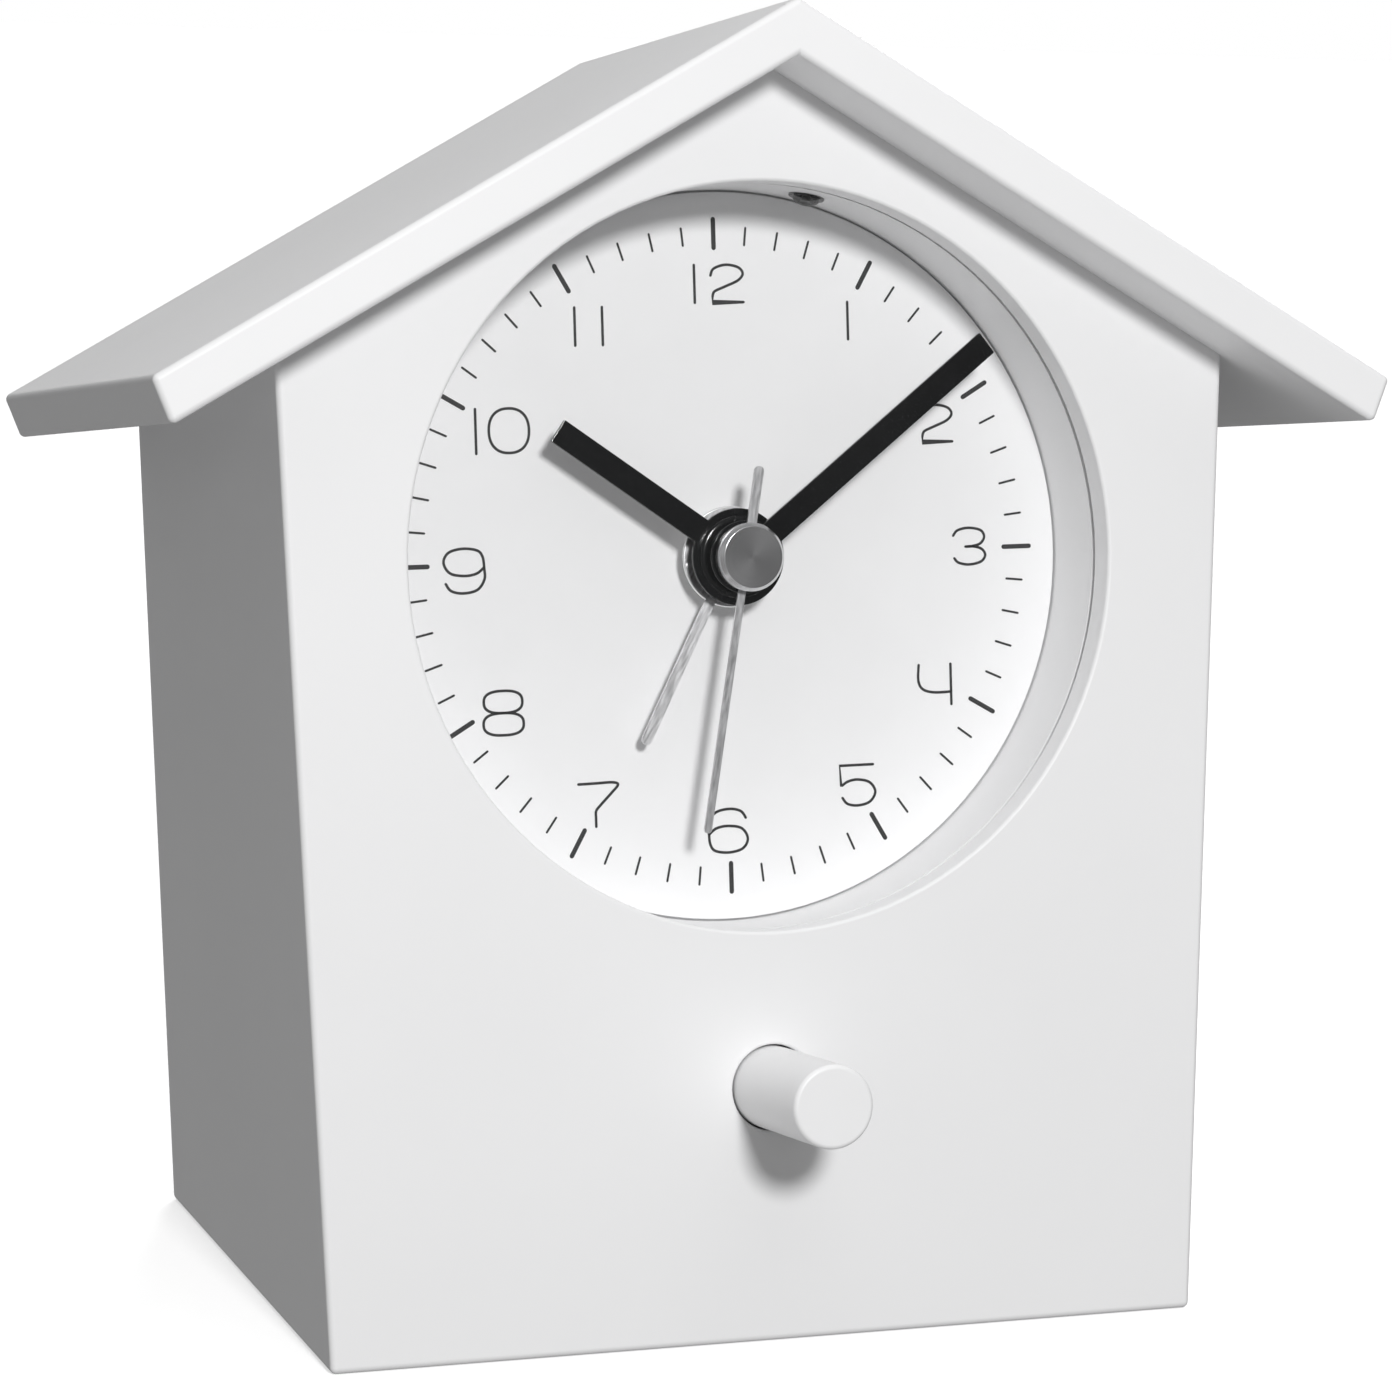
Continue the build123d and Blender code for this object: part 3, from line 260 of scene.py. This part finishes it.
def circuit_board(name):
    """Green solder mask with slightly lighter copper runs under it."""
    material, tree, shader = new_finish(name, {"Coat Weight": 0.3})
    vector = object_coordinates(tree)
    runs_per_metre = 420.0
    runs = add_node(tree, "ShaderNodeTexVoronoi", {"Scale": runs_per_metre},
                    distance="CHEBYCHEV")
    tree.links.new(vector, runs.inputs["Vector"])
    tint = colour_between(tree, runs.outputs["Distance"], (0.03, 0.17, 0.07),
                          (0.05, 0.26, 0.11), 0.35, 0.45)
    tree.links.new(tint, shader.inputs["Base Color"])
    grains = noise(tree, vector, 2 * MM)
    tree.links.new(value_between(tree, grains, 0.3, 0.42), shader.inputs["Roughness"])
    relief(tree, shader, runs.outputs["Distance"], 0.03 * MM)
    return material


WHITE = (0.88, 0.88, 0.885)
FINISHES = {
    "white_lacquer": moulded("lacquered_board", WHITE, 0.008, (0.42, 0.5),
                             patch=30 * MM, grain=1.6 * MM, height=0.006 * MM),
    "white_button": moulded("lacquered_dowel", WHITE, 0.01, (0.38, 0.46),
                            patch=12 * MM, grain=1.4 * MM, height=0.005 * MM),
    "bare_wood": banded("pine_block", (0.52, 0.36, 0.2), (0.7, 0.52, 0.32), 1.6 * MM,
                        (0.55, 0.7), 0.03 * MM, wobble=4.0),
    "clear_lens": clear("clear_lens_plastic", (0.3, 0.31, 0.31), (0.01, 0.02), (0.04, 0.08)),
    # The lamp's clear resin is tinted near black: painted shade for the dark inside of the lamp's
    # hole.
    "lamp_lens": clear("lamp_resin_painted_shade", (0.02, 0.02, 0.019), (0.5, 0.6), (0.04, 0.08),
                       Specular_IOR_Level=0.3),
    "cup_plastic": moulded("white_cup_plastic", (0.9, 0.9, 0.905), 0.01, (0.4, 0.5),
                           grain=0.6 * MM, height=0.006 * MM),
    "dial_print": moulded("matt_dial_card", (0.9, 0.9, 0.905), 0.006, (0.6, 0.7),
                          patch=5 * MM, grain=0.35 * MM, height=0.004 * MM),
    "black_hand": moulded("gloss_black_paint", (0.004, 0.004, 0.0045), 0.15, (0.1, 0.16),
                          patch=2 * MM, grain=0.4 * MM, height=0.001 * MM,
                          Specular_IOR_Level=0.35),
    "silver_hand": brushed("brushed_second_hand", (0.57, 0.57, 0.58), (0.32, 0.42), 190.4),
    "brushed_cap": spun_metal("spun_cap_metal", (0.66, 0.66, 0.67), (0.16, 0.24)),
    "case_plastic": moulded("natural_case_plastic", (0.78, 0.78, 0.75), 0.02, (0.4, 0.5),
                            grain=0.8 * MM),
    "gear_plastic": moulded("acetal_gear", (0.82, 0.8, 0.72), 0.03, (0.32, 0.42),
                            patch=2 * MM, grain=0.5 * MM),
    "copper_wire": banded("enamelled_copper", (0.4, 0.13, 0.04), (0.85, 0.4, 0.17),
                          0.12 * MM, (0.25, 0.4), 0.03 * MM, wobble=0.3, Metallic=0.9),
    "steel": moulded("plated_steel", (0.62, 0.62, 0.63), 0.06, (0.24, 0.38),
                     patch=1.5 * MM, grain=0.3 * MM, height=0.003 * MM, Metallic=1.0),
    "magnet": moulded("black_ferrite", (0.09, 0.09, 0.095), 0.2, (0.5, 0.65),
                      patch=1 * MM, grain=0.3 * MM),
    "back_plastic": moulded("grained_back_plastic", (0.8, 0.8, 0.81), 0.012, (0.5, 0.62),
                            patch=12 * MM, grain=0.45 * MM, height=0.02 * MM),
    "knob_plastic": moulded("grey_knob_plastic", (0.5, 0.5, 0.52), 0.03, (0.4, 0.5),
                            patch=3 * MM, grain=0.5 * MM),
    "board_green": circuit_board("green_circuit_board"),
    "black_plastic": moulded("black_moulding", (0.025, 0.025, 0.026), 0.15, (0.4, 0.55),
                             patch=2 * MM, grain=0.4 * MM),
    "capacitor_sleeve": moulded("navy_sleeve", (0.02, 0.03, 0.08), 0.15, (0.25, 0.35),
                                patch=2 * MM, grain=0.8 * MM, Coat_Weight=0.4),
    "cell_wrap": banded("foil_cell_wrap", (0.06, 0.17, 0.17), (0.42, 0.52, 0.5), 26 * MM,
                        (0.22, 0.34), 0.002 * MM, wobble=0.0, Metallic=0.5),
    "cone_paper": moulded("pressed_cone_paper", (0.08, 0.08, 0.082), 0.2, (0.7, 0.85),
                          patch=1 * MM, grain=0.25 * MM, height=0.03 * MM),
}
INK = moulded("printed_grey_ink", (0.02, 0.02, 0.021), 0.12, (0.5, 0.65),
              patch=1 * MM, grain=0.2 * MM, height=0.001 * MM)
ROLLED_RIM = spun_metal("rolled_rim_metal", (0.92, 0.92, 0.93), (0.3, 0.4))
FLOOR_PAPER = moulded("pale_floor_paper", (0.9, 0.9, 0.9), 0.004, (0.85, 0.95),
                      patch=60 * MM, grain=2 * MM, height=0.01 * MM,
                      Emission_Color=(1, 1, 1, 1), Emission_Strength=0.4)


def dress_cad_nodes():
    """Every CAD node takes the finish of its material slot."""
    for node in NODES.values():
        for place in node.material_slots:
            place.material = FINISHES[place.material.name.split(".")[0]]


# ---------------------------------------------------------------- making pieces

def soften(node, width):
    """Rounds a CAD node's sharp edges; the mesh itself stays as packed."""
    weld = NODES[node].modifiers.new("join_seams", "WELD")
    weld.merge_threshold = 0.001 * MM
    bevel = NODES[node].modifiers.new("soft_edges", "BEVEL")
    bevel.width = width
    bevel.segments = 2
    bevel.limit_method = "ANGLE"
    bevel.angle_limit = radians(40)
    bevel.harden_normals = True


def new_piece(name, mesh, place, finish, body):
    """Puts a finished mesh in the scene, riding on a CAD body."""
    piece = bpy.data.objects.new(name, mesh)
    bpy.context.scene.collection.objects.link(piece)
    piece.matrix_world = place
    mesh.materials.append(finish)
    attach(piece, body)
    return piece


def finished_mesh(name, shape, sharp):
    """The mesh of a closed shape, shaded smooth except at edges sharper than some degrees."""
    bmesh.ops.recalc_face_normals(shape, faces=shape.faces)
    mesh = bpy.data.meshes.new(name)
    shape.to_mesh(mesh)
    shape.free()
    mesh.shade_smooth()
    mesh.set_sharp_from_angle(angle=radians(sharp))
    return mesh


def join_sections(shape, sections, following):
    """Skins each closed section of vertices to the next one."""
    for section, after in zip(sections, following):
        for index in range(len(section)):
            beside = (index + 1) % len(section)
            shape.faces.new((section[index], after[index], after[beside], section[beside]))


def lathe(name, profile, steps=96):
    """A closed mesh turned round z from (radius, height) points that start and end at radius 0."""
    shape = bmesh.new()
    rows = []
    for radius, height in profile:
        count = steps if radius > 0 else 1
        angles = [2 * pi * step / steps for step in range(count)]
        rows.append([shape.verts.new((radius * cos(a), radius * sin(a), height)) for a in angles])
    for lower, upper in zip(rows, rows[1:]):
        for step in range(steps):
            corners = [lower[step % len(lower)], lower[(step + 1) % len(lower)],
                       upper[(step + 1) % len(upper)], upper[step % len(upper)]]
            shape.faces.new(list(dict.fromkeys(corners)))
    return finished_mesh(name, shape, 25)


def rounded(corner_radius, corner_height, size, start, end, steps=3):
    """Points of a round corner on a lathe profile, turning from one angle to another."""
    turns = [start + (end - start) * step / steps for step in range(steps + 1)]
    return [(corner_radius + size * cos(radians(t)), corner_height + size * sin(radians(t)))
            for t in turns]


def ring(name, inner, outer, high, steps=96):
    """A low ring round z, with a rounded top, standing on z = 0."""
    middle, half = (inner + outer) / 2, (outer - inner) / 2
    section = [(middle + half * cos(radians(t)), high * sin(radians(t)))
               for t in range(0, 181, 15)]
    shape = bmesh.new()
    rows = []
    for step in range(steps):
        turn = 2 * pi * step / steps
        rows.append([shape.verts.new((r * cos(turn), r * sin(turn), z)) for r, z in section])
    join_sections(shape, rows, rows[1:] + rows[:1])
    return finished_mesh(name, shape, 50)


# ---------------------------------------------------------------- the dial's print

DIAL_TURN = 1.15  # degrees anticlockwise, as the dial sits in the case
INK_HEIGHT = 0.03 * MM
NUMERAL_PEN = 0.3 * MM
HOUR_MARK = (34.15 * MM, 37.3 * MM, 0.52 * MM)
MINUTE_MARK = (34.6 * MM, 36.5 * MM, 0.25 * MM)


def smooth(points, steps=6):
    """A smooth line through the points, as a list of points close together."""
    padded = [points[0], *points, points[-1]]
    line = []
    for a, b, c, d in zip(padded, padded[1:], padded[2:], padded[3:]):
        for step in range(steps):
            t = step / steps
            line.append(tuple(
                0.5 * (2 * q + (r - p) * t + (2 * p - 5 * q + 4 * r - s) * t ** 2
                       + (3 * q - p - 3 * r + s) * t ** 3)
                for p, q, r, s in zip(a, b, c, d)))
    return line + [points[-1]]


def oval(middle, half, squareness, steps=44):
    """A closed, slightly squared oval."""
    line = []
    for step in range(steps + 1):
        angle = 2 * pi * (step % steps) / steps
        line.append(tuple(
            centre + size * abs(share) ** (2 / squareness) * (1 if share > 0 else -1)
            for centre, size, share in zip(middle, half, (cos(angle), sin(angle)))))
    return line


def half_turn(line):
    """The same strokes upside down in the unit box."""
    return [(1 - x, 1 - y) for x, y in line]


NINE = smooth([(.98, .55), (.80, .43), (.50, .39), (.15, .46), (0, .70), (.13, .92), (.48, 1),
               (.84, .95), (.97, .80), (1, .55), (1, .30), (.82, .07), (.47, 0), (.17, .06),
               (.04, .22)])
DIGITS = {
    "0": [oval((.5, .5), (.5, .5), 2.3)],
    "1": [[(.5, 0), (.5, 1)]],
    "2": [smooth([(.02, .72), (.12, .90), (.48, 1), (.86, .93), (1, .76), (.85, .58), (.45, .42),
                  (.14, .30), (.07, .18)]) + [(.07, 0), (1, 0)]],
    "3": [smooth([(0, .80), (.14, .94), (.48, 1), (.86, .93), (.98, .75), (.86, .57), (.60, .50),
                  (.38, .49)]),
          smooth([(.38, .49), (.62, .49), (.88, .42), (1, .25), (.86, .07), (.48, 0), (.15, .06),
                  (.02, .18)])],
    "4": [smooth([(.03, 1), (.01, .62), (.13, .40), (.45, .31), (.95, .31)]),
          [(.95, 1), (.95, 0)]],
    "5": [[(.95, 1), (0, 1)]
          + smooth([(.03, .49), (.22, .60), (.50, .64), (.84, .56), (1, .32), (.84, .08), (.50, 0),
                    (.20, .05), (.06, .20)])],
    "6": [half_turn(NINE)],
    "7": [smooth([(0, .98), (.45, .985), (.86, .99), (1, .93), (.84, .76), (.55, .49), (.43, .36),
                  (.42, .2), (.42, 0)])],
    "8": [oval((.5, .75), (.48, .25), 2.6), oval((.5, .25), (.5, .25), 2.6)],
    "9": [NINE],
}

# The middle of each hour's numeral on the dial, in mm across and up from the hands' axis
NUMERAL_AT = {
    12: (0.0, 30.2), 1: (15.25, 26.2), 2: (25.9, 14.7), 3: (29.9, 0.8),
    4: (25.6, -14.8), 5: (16.0, -25.9), 6: (0.4, -30.5), 7: (-14.8, -27.1),
    8: (-25.7, -16.75), 9: (-30.0, -1.2), 10: (-25.4, 14.0), 11: (-15.4, 25.4),
}
# The width and height of the numerals, which are larger at the foot of the dial, in mm
SMALL, MIDDLE, LARGE = (3.9, 4.15), (4.25, 4.55), (4.6, 4.85)
NUMERAL_SIZE = {hour: SMALL for hour in (11, 12, 1, 2, 3)}
NUMERAL_SIZE.update({hour: MIDDLE for hour in (4, 5)})
NUMERAL_SIZE.update({hour: LARGE for hour in range(6, 11)})
# How far the two digits of a two-digit hour stand from the middle, in mm
DIGITS_APART = {10: (-3.1, 0.7), 11: (-1.6, 1.6), 12: (-3.0, 0.8)}


def sideways(leg):
    """The unit vector a quarter turn anticlockwise from a leg of a line."""
    along = leg.normalized()
    return Vector((-along.y, along.x))


def round_end(point, outwards, width):
    """Ever narrower sections that close a pen stroke beyond its last point."""
    half = sideways(outwards) * (width / 2)
    return [(point + outwards.normalized() * (width / 2 * sin(radians(turn))),
             half * cos(radians(turn))) for turn in (30, 60, 85)]


def add_stroke(shape, path, width):
    """Adds one pen stroke to a flat mesh: a line with round ends, or a closed ring."""
    points = [Vector(point) for point in path]
    closed = (points[0] - points[-1]).length < 1e-9
    sections = []
    for index, point in enumerate(points):
        first, last = index == 0, index == len(points) - 1
        before = points[-2] if first and closed else points[max(index - 1, 0)]
        after = points[1] if last and closed else points[min(index + 1, len(points) - 1)]
        normal = sideways(after - before)
        leg = after - point if first else point - before
        share = max(abs(sideways(leg).dot(normal)), 0.5)
        sections.append((point, normal * (width / 2 / share)))
    if not closed:
        start = round_end(points[0], points[0] - points[1], width)
        end = round_end(points[-1], points[-1] - points[-2], width)
        sections = [(point, -half) for point, half in reversed(start)] + sections + end
    rows = [[shape.verts.new((*(point + half), 0)), shape.verts.new((*(point - half), 0))]
            for point, half in sections]
    for (left, right), (next_left, next_right) in zip(rows, rows[1:]):
        shape.faces.new((right, next_right, next_left, left))


def printed(name, strokes):
    """A thin raised print on the dial from (path, width) strokes."""
    shape = bmesh.new()
    for path, width in strokes:
        add_stroke(shape, path, width)
    mesh = bpy.data.meshes.new(name)
    shape.to_mesh(mesh)
    shape.free()
    piece = new_piece(name, mesh, face_frame(DIAL_FRONT), INK, "case")
    ink = piece.modifiers.new("ink_height", "SOLIDIFY")
    ink.thickness = INK_HEIGHT
    ink.offset = 1


def make_dial_marks():
    """Sixty marks round the dial, with a bolder one at each hour."""
    strokes = []
    for minute in range(60):
        angle = radians(90 - 6 * minute + DIAL_TURN)
        inner, outer, width = MINUTE_MARK if minute % 5 else HOUR_MARK
        path = [(radius * cos(angle), radius * sin(angle)) for radius in (inner, outer)]
        strokes.append((path, width))
    printed("dial_marks", strokes)


def make_dial_numerals():
    """The twelve hours in a thin rounded hand."""
    lean = radians(DIAL_TURN)
    strokes = []
    for hour, (middle_x, middle_y) in NUMERAL_AT.items():
        wide, high = (size * MM for size in NUMERAL_SIZE[hour])
        for digit, shift in zip(str(hour), DIGITS_APART.get(hour, (0.0,))):
            for line in DIGITS[digit]:
                path = []
                for x, y in line:
                    across = (x - 0.5) * wide + shift * MM
                    up = (y - 0.5) * high
                    path.append((middle_x * MM + across * cos(lean) - up * sin(lean),
                                 middle_y * MM + across * sin(lean) + up * cos(lean)))
                strokes.append((path, NUMERAL_PEN))
    printed("dial_numerals", strokes)


# ---------------------------------------------------------------- the hands' centre

def make_cap():
    """The turned metal cap over the hands: a spun face, a wide chamfer, and a groove behind it."""
    front, back = depth_range("second_hand_cap")
    high = back - front
    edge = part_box("second_hand_cap")[1].x
    lip = 0.08 * MM
    groove = 0.25 * MM
    chamfer = 0.42 * MM
    break_edge = 0.07 * MM
    profile = [(0, 0), (edge - 0.1 * MM, 0), (edge, 0.1 * MM), (edge, 0.42 * high),
               (edge - lip, 0.46 * high), (edge - groove, 0.48 * high),
               (edge - groove, 0.56 * high), (edge - lip, 0.58 * high)]
    profile += rounded(edge - lip, 0.72 * high, lip, 0, 60)
    profile += rounded(edge - chamfer, high - break_edge, break_edge, 45, 90)
    profile += [(edge - 0.5 * MM, high), (edge * 0.4, high), (0, high)]
    mesh = lathe("turned_cap", profile)
    cap = new_piece("turned_cap", mesh, face_frame(on_axis(back)), FINISHES["brushed_cap"],
                    "second")
    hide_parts("second_hand_cap")


def make_alarm_hub_rim():
    """The rolled bright rim round the alarm hand's hub."""
    hub_front = depth_range("alarm_hand")[0]
    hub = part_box("alarm_hand")[1].x  # the hand points left, so its box ends at the hub's radius
    thick = 0.22 * MM
    mesh = ring("alarm_hub_rim", hub - 0.1 * MM, hub + 0.25 * MM, thick)
    place = face_frame(on_axis(hub_front + thick))
    new_piece("alarm_hub_rim", mesh, place, ROLLED_RIM, "alarm")


def make_hour_hub_shoulder():
    """The low rounded step on the hour hand's hub, which catches the light."""
    hub_front = depth_range("hour_hand")[0]
    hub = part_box("hour_hand")[1].x  # this hand points left too
    inner, step_back, thick = 3.2 * MM, 0.75 * MM, 0.3 * MM
    mesh = ring("hour_hub_shoulder", inner, hub - step_back, thick)
    place = face_frame(on_axis(hub_front))
    new_piece("hour_hub_shoulder", mesh, place, FINISHES["black_hand"], "hour")


def coil(name, radius, wire, length, turns, per_turn=40, sides=10):
    """A coil of round wire that winds up z from z = 0."""
    shape = bmesh.new()
    rows = []
    for step in range(turns * per_turn + 1):
        turn = 2 * pi * step / per_turn
        height = length * step / (turns * per_turn)
        row = []
        for side in range(sides):
            angle = 2 * pi * side / sides
            reach = radius + wire * cos(angle)
            row.append(shape.verts.new((reach * cos(turn), reach * sin(turn),
                                        height + wire * sin(angle))))
        rows.append(row)
    join_sections(shape, rows, rows[1:])
    shape.faces.new(rows[0])
    shape.faces.new(rows[-1])
    return finished_mesh(name, shape, 50)


def make_return_spring():
    """The perch's coil spring."""
    front, back = depth_range("return_spring")
    wire, turns = 0.28 * MM, 5
    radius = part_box("return_spring")[1].x - wire
    height_on_face = sum(extent("return_spring", UPWARD)) / 2
    fixed_end = INWARD * back + UPWARD * height_on_face
    mesh = coil("coil_spring", radius, wire, back - front - 2 * wire, turns)
    spring = new_piece("coil_spring", mesh, face_frame(fixed_end - INWARD * wire),
                       FINISHES["steel"], "case")
    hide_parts("return_spring")
    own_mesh(spring)


def in_mm(points):
    """A lathe profile given in millimetres."""
    return [(radius * MM, height * MM) for radius, height in points]


def make_lamp():
    """The clear lamp in the window's wall: a domed lens, tinted near black as painted shade, over
    a bright metal cup in a black well that is painted shade for the shaded hole behind it.
    """
    middle = sum(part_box("dial_led"), Vector()) / 2
    depth = middle.dot(INWARD)
    outwards = (middle - on_axis(depth)).normalized()
    wall_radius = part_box("dial_plate")[1].x + 0.2 * MM
    place = Matrix.Translation(on_axis(depth) + outwards * wall_radius)
    place = place @ (-outwards).to_track_quat("Z", "Y").to_matrix().to_4x4()
    barrel = 1.5
    flange = 2.0
    lens = [(0, -3.0), (barrel, -3.0), (barrel, -0.6), (flange, -0.6), (flange, 0.2),
            (flange - 0.1, 0.3), (barrel + 0.05, 0.3)]
    lens += [(barrel * cos(radians(turn)), 0.35 + 0.75 * sin(radians(turn)))
             for turn in range(0, 90, 15)]
    lens += [(0, 1.1)]
    # The black well is painted shade: it darkens the hole behind the lens the way its own shadow
    # would.
    well = [(0, -2.6), (1.4, -2.6), (1.4, 0.1), (0.9, 0.1), (0.7, -0.3), (0, -0.3)]
    cup = [(0, -0.4), (0.4, -0.4), (0.55, 0.6), (0.45, 0.6), (0.2, 0.3), (0, 0.3)]
    lens_piece = new_piece("lamp_lens", lathe("lamp_lens", in_mm(lens), 48), place,
                           FINISHES["lamp_lens"], "case")
    new_piece("lamp_painted_shade_well", lathe("lamp_painted_shade_well", in_mm(well), 32), place,
              FINISHES["black_plastic"], "case")
    new_piece("lamp_cup", lathe("lamp_cup", in_mm(cup), 32), place, ROLLED_RIM, "case")
    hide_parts("dial_led")


# ---------------------------------------------------------------- light, floor and camera

KEY_SIDE = -0.08  # the key's sideways slope, as a share of its distance in front of the face
KEY_RISE = 0.3  # the key's height up the face, as a share of the same distance


def sun(name, towards, strength, spread):
    """A distant lamp shining from a direction; strength 1 turns a white wall facing it white."""
    lamp = bpy.data.lights.new(name, "SUN")
    lamp.energy = strength * pi
    lamp.angle = radians(spread)
    holder = bpy.data.objects.new(name, lamp)
    holder.rotation_mode = "QUATERNION"
    holder.rotation_quaternion = Vector(towards).to_track_quat("Z", "Y")
    bpy.context.scene.collection.objects.link(holder)


def studio_lamp(name, aim, towards, away, strength, width):
    """A round studio lamp some way from its aim; strength 1 turns a white wall there white."""
    data = bpy.data.lights.new(name, "AREA")
    data.shape = "DISK"
    data.size = width
    data.energy = strength * pi ** 2 * away ** 2
    lamp = bpy.data.objects.new(name, data)
    direction = Vector(towards).normalized()
    lamp.location = aim + direction * away
    lamp.rotation_mode = "QUATERNION"
    lamp.rotation_quaternion = direction.to_track_quat("Z", "Y")
    lamp.visible_camera = False
    bpy.context.scene.collection.objects.link(lamp)


def make_lights():
    """A key in front and above, with soft light from overhead, below, the left and behind."""
    key = KEY_SIDE * ACROSS - INWARD + KEY_RISE * UPWARD
    studio_lamp("key", DIAL_FRONT, key, away=0.75, strength=0.67, width=0.12)
    sun("overhead", (0, -0.1, 1), strength=0.12, spread=50)
    sun("table_bounce", (-0.1, -0.95, -0.25), strength=0.04, spread=60)
    sun("left_bounce", (-0.9, -0.25, -0.15), strength=0.11, spread=80)
    sun("low_bounce", (-0.1, -0.1, -1), strength=0.18, spread=90)
    sun("behind", (0.5, 0.8, 0.5), strength=0.5, spread=30)


# The sky's grey from straight below (0) through the horizon (0.5) to straight above (1)
SKY_GREYS = ((0.0, 0.04), (0.46, 0.05), (0.5, 0.08), (1.0, 0.46))


def make_world():
    """White all round the picture, but dim light on the object, brighter from above."""
    world = bpy.data.worlds.new("studio")
    bpy.context.scene.world = world
    world.use_nodes = True
    tree = world.node_tree
    sky = tree.nodes["Background"]
    coordinates = add_node(tree, "ShaderNodeTexCoord")
    split = add_node(tree, "ShaderNodeSeparateXYZ")
    height = add_node(tree, "ShaderNodeMapRange", {"From Min": -1.0, "From Max": 1.0})
    glow = add_node(tree, "ShaderNodeValToRGB")
    stops = glow.color_ramp.elements
    for position, _ in SKY_GREYS[1:-1]:
        stops.new(position)
    for stop, (_, grey) in zip(stops, SKY_GREYS):
        stop.color = (grey, grey, grey, 1)
    tree.links.new(coordinates.outputs["Generated"], split.inputs["Vector"])
    tree.links.new(split.outputs["Z"], height.inputs["Value"])
    tree.links.new(height.outputs["Result"], glow.inputs["Fac"])
    tree.links.new(glow.outputs["Color"], sky.inputs["Color"])
    backdrop = add_node(tree, "ShaderNodeBackground", {"Color": (1, 1, 1, 1)})
    path = add_node(tree, "ShaderNodeLightPath")
    choice = add_node(tree, "ShaderNodeMixShader")
    tree.links.new(path.outputs["Is Camera Ray"], choice.inputs["Fac"])
    tree.links.new(sky.outputs["Background"], choice.inputs[1])
    tree.links.new(backdrop.outputs["Background"], choice.inputs[2])
    tree.links.new(choice.outputs["Shader"], tree.nodes["World Output"].inputs["Surface"])


def make_floor():
    """A large plain floor that takes shadows but throws no light back up."""
    half = 6.0  # metres
    mesh = bpy.data.meshes.new("floor")
    corners = [(-half, -half, 0), (half, -half, 0), (half, half, 0), (-half, half, 0)]
    mesh.from_pydata(corners, [], [(0, 1, 2, 3)])
    mesh.materials.append(FLOOR_PAPER)
    floor = bpy.data.objects.new("floor", mesh)
    bpy.context.scene.collection.objects.link(floor)
    floor.location.z = cad_low.z - 0.02 * MM
    floor.visible_diffuse = False
    floor.visible_glossy = False
    floor.visible_shadow = False


CAMERA_LEFT = 20.58  # degrees left of straight in front
CAMERA_ABOVE = 9.49  # degrees above the horizon
CAMERA_ROLL = 2.14  # degrees
CAMERA_DISTANCE = 0.4809  # metres
CAMERA_LENS = 115.2  # millimetres, on a sensor 36 mm wide
CAMERA_AIM = Vector((-0.0077, 0.0004, -0.0142))  # from the middle of the window, in metres


def make_camera():
    """The camera, in front of the clock and a little to its left."""
    side, height = radians(CAMERA_LEFT), radians(CAMERA_ABOVE)
    forward = Vector((sin(side) * cos(height), cos(side) * cos(height), -sin(height)))
    window = on_axis(depth_range("front_panel")[0])
    data = bpy.data.cameras.new("camera")
    data.lens = CAMERA_LENS
    data.sensor_width = 36
    camera = bpy.data.objects.new("camera", data)
    camera.location = window + CAMERA_AIM - forward * CAMERA_DISTANCE
    camera.rotation_mode = "QUATERNION"
    roll = Quaternion((0, 0, 1), radians(CAMERA_ROLL))
    camera.rotation_quaternion = forward.to_track_quat("-Z", "Y") @ roll
    bpy.context.scene.collection.objects.link(camera)
    bpy.context.scene.camera = camera


# ---------------------------------------------------------------- the scene

dress_cad_nodes()
NODES["alarm_hand"].material_slots[0].material = brushed(
    "brushed_alarm_hand", (0.77, 0.77, 0.78), (0.32, 0.44), 207.8)
for hand in ("hour_hand", "minute_hand"):
    soften(hand, 0.12 * MM)
soften("alarm_hand", 0.1 * MM)
soften("second_hand", 0.08 * MM)
make_dial_marks()
make_dial_numerals()
make_cap()
make_alarm_hub_rim()
make_hour_hub_shoulder()
make_lamp()
make_return_spring()
make_floor()
make_lights()
make_world()
make_camera()
bpy.context.scene.view_settings.view_transform = "Standard"
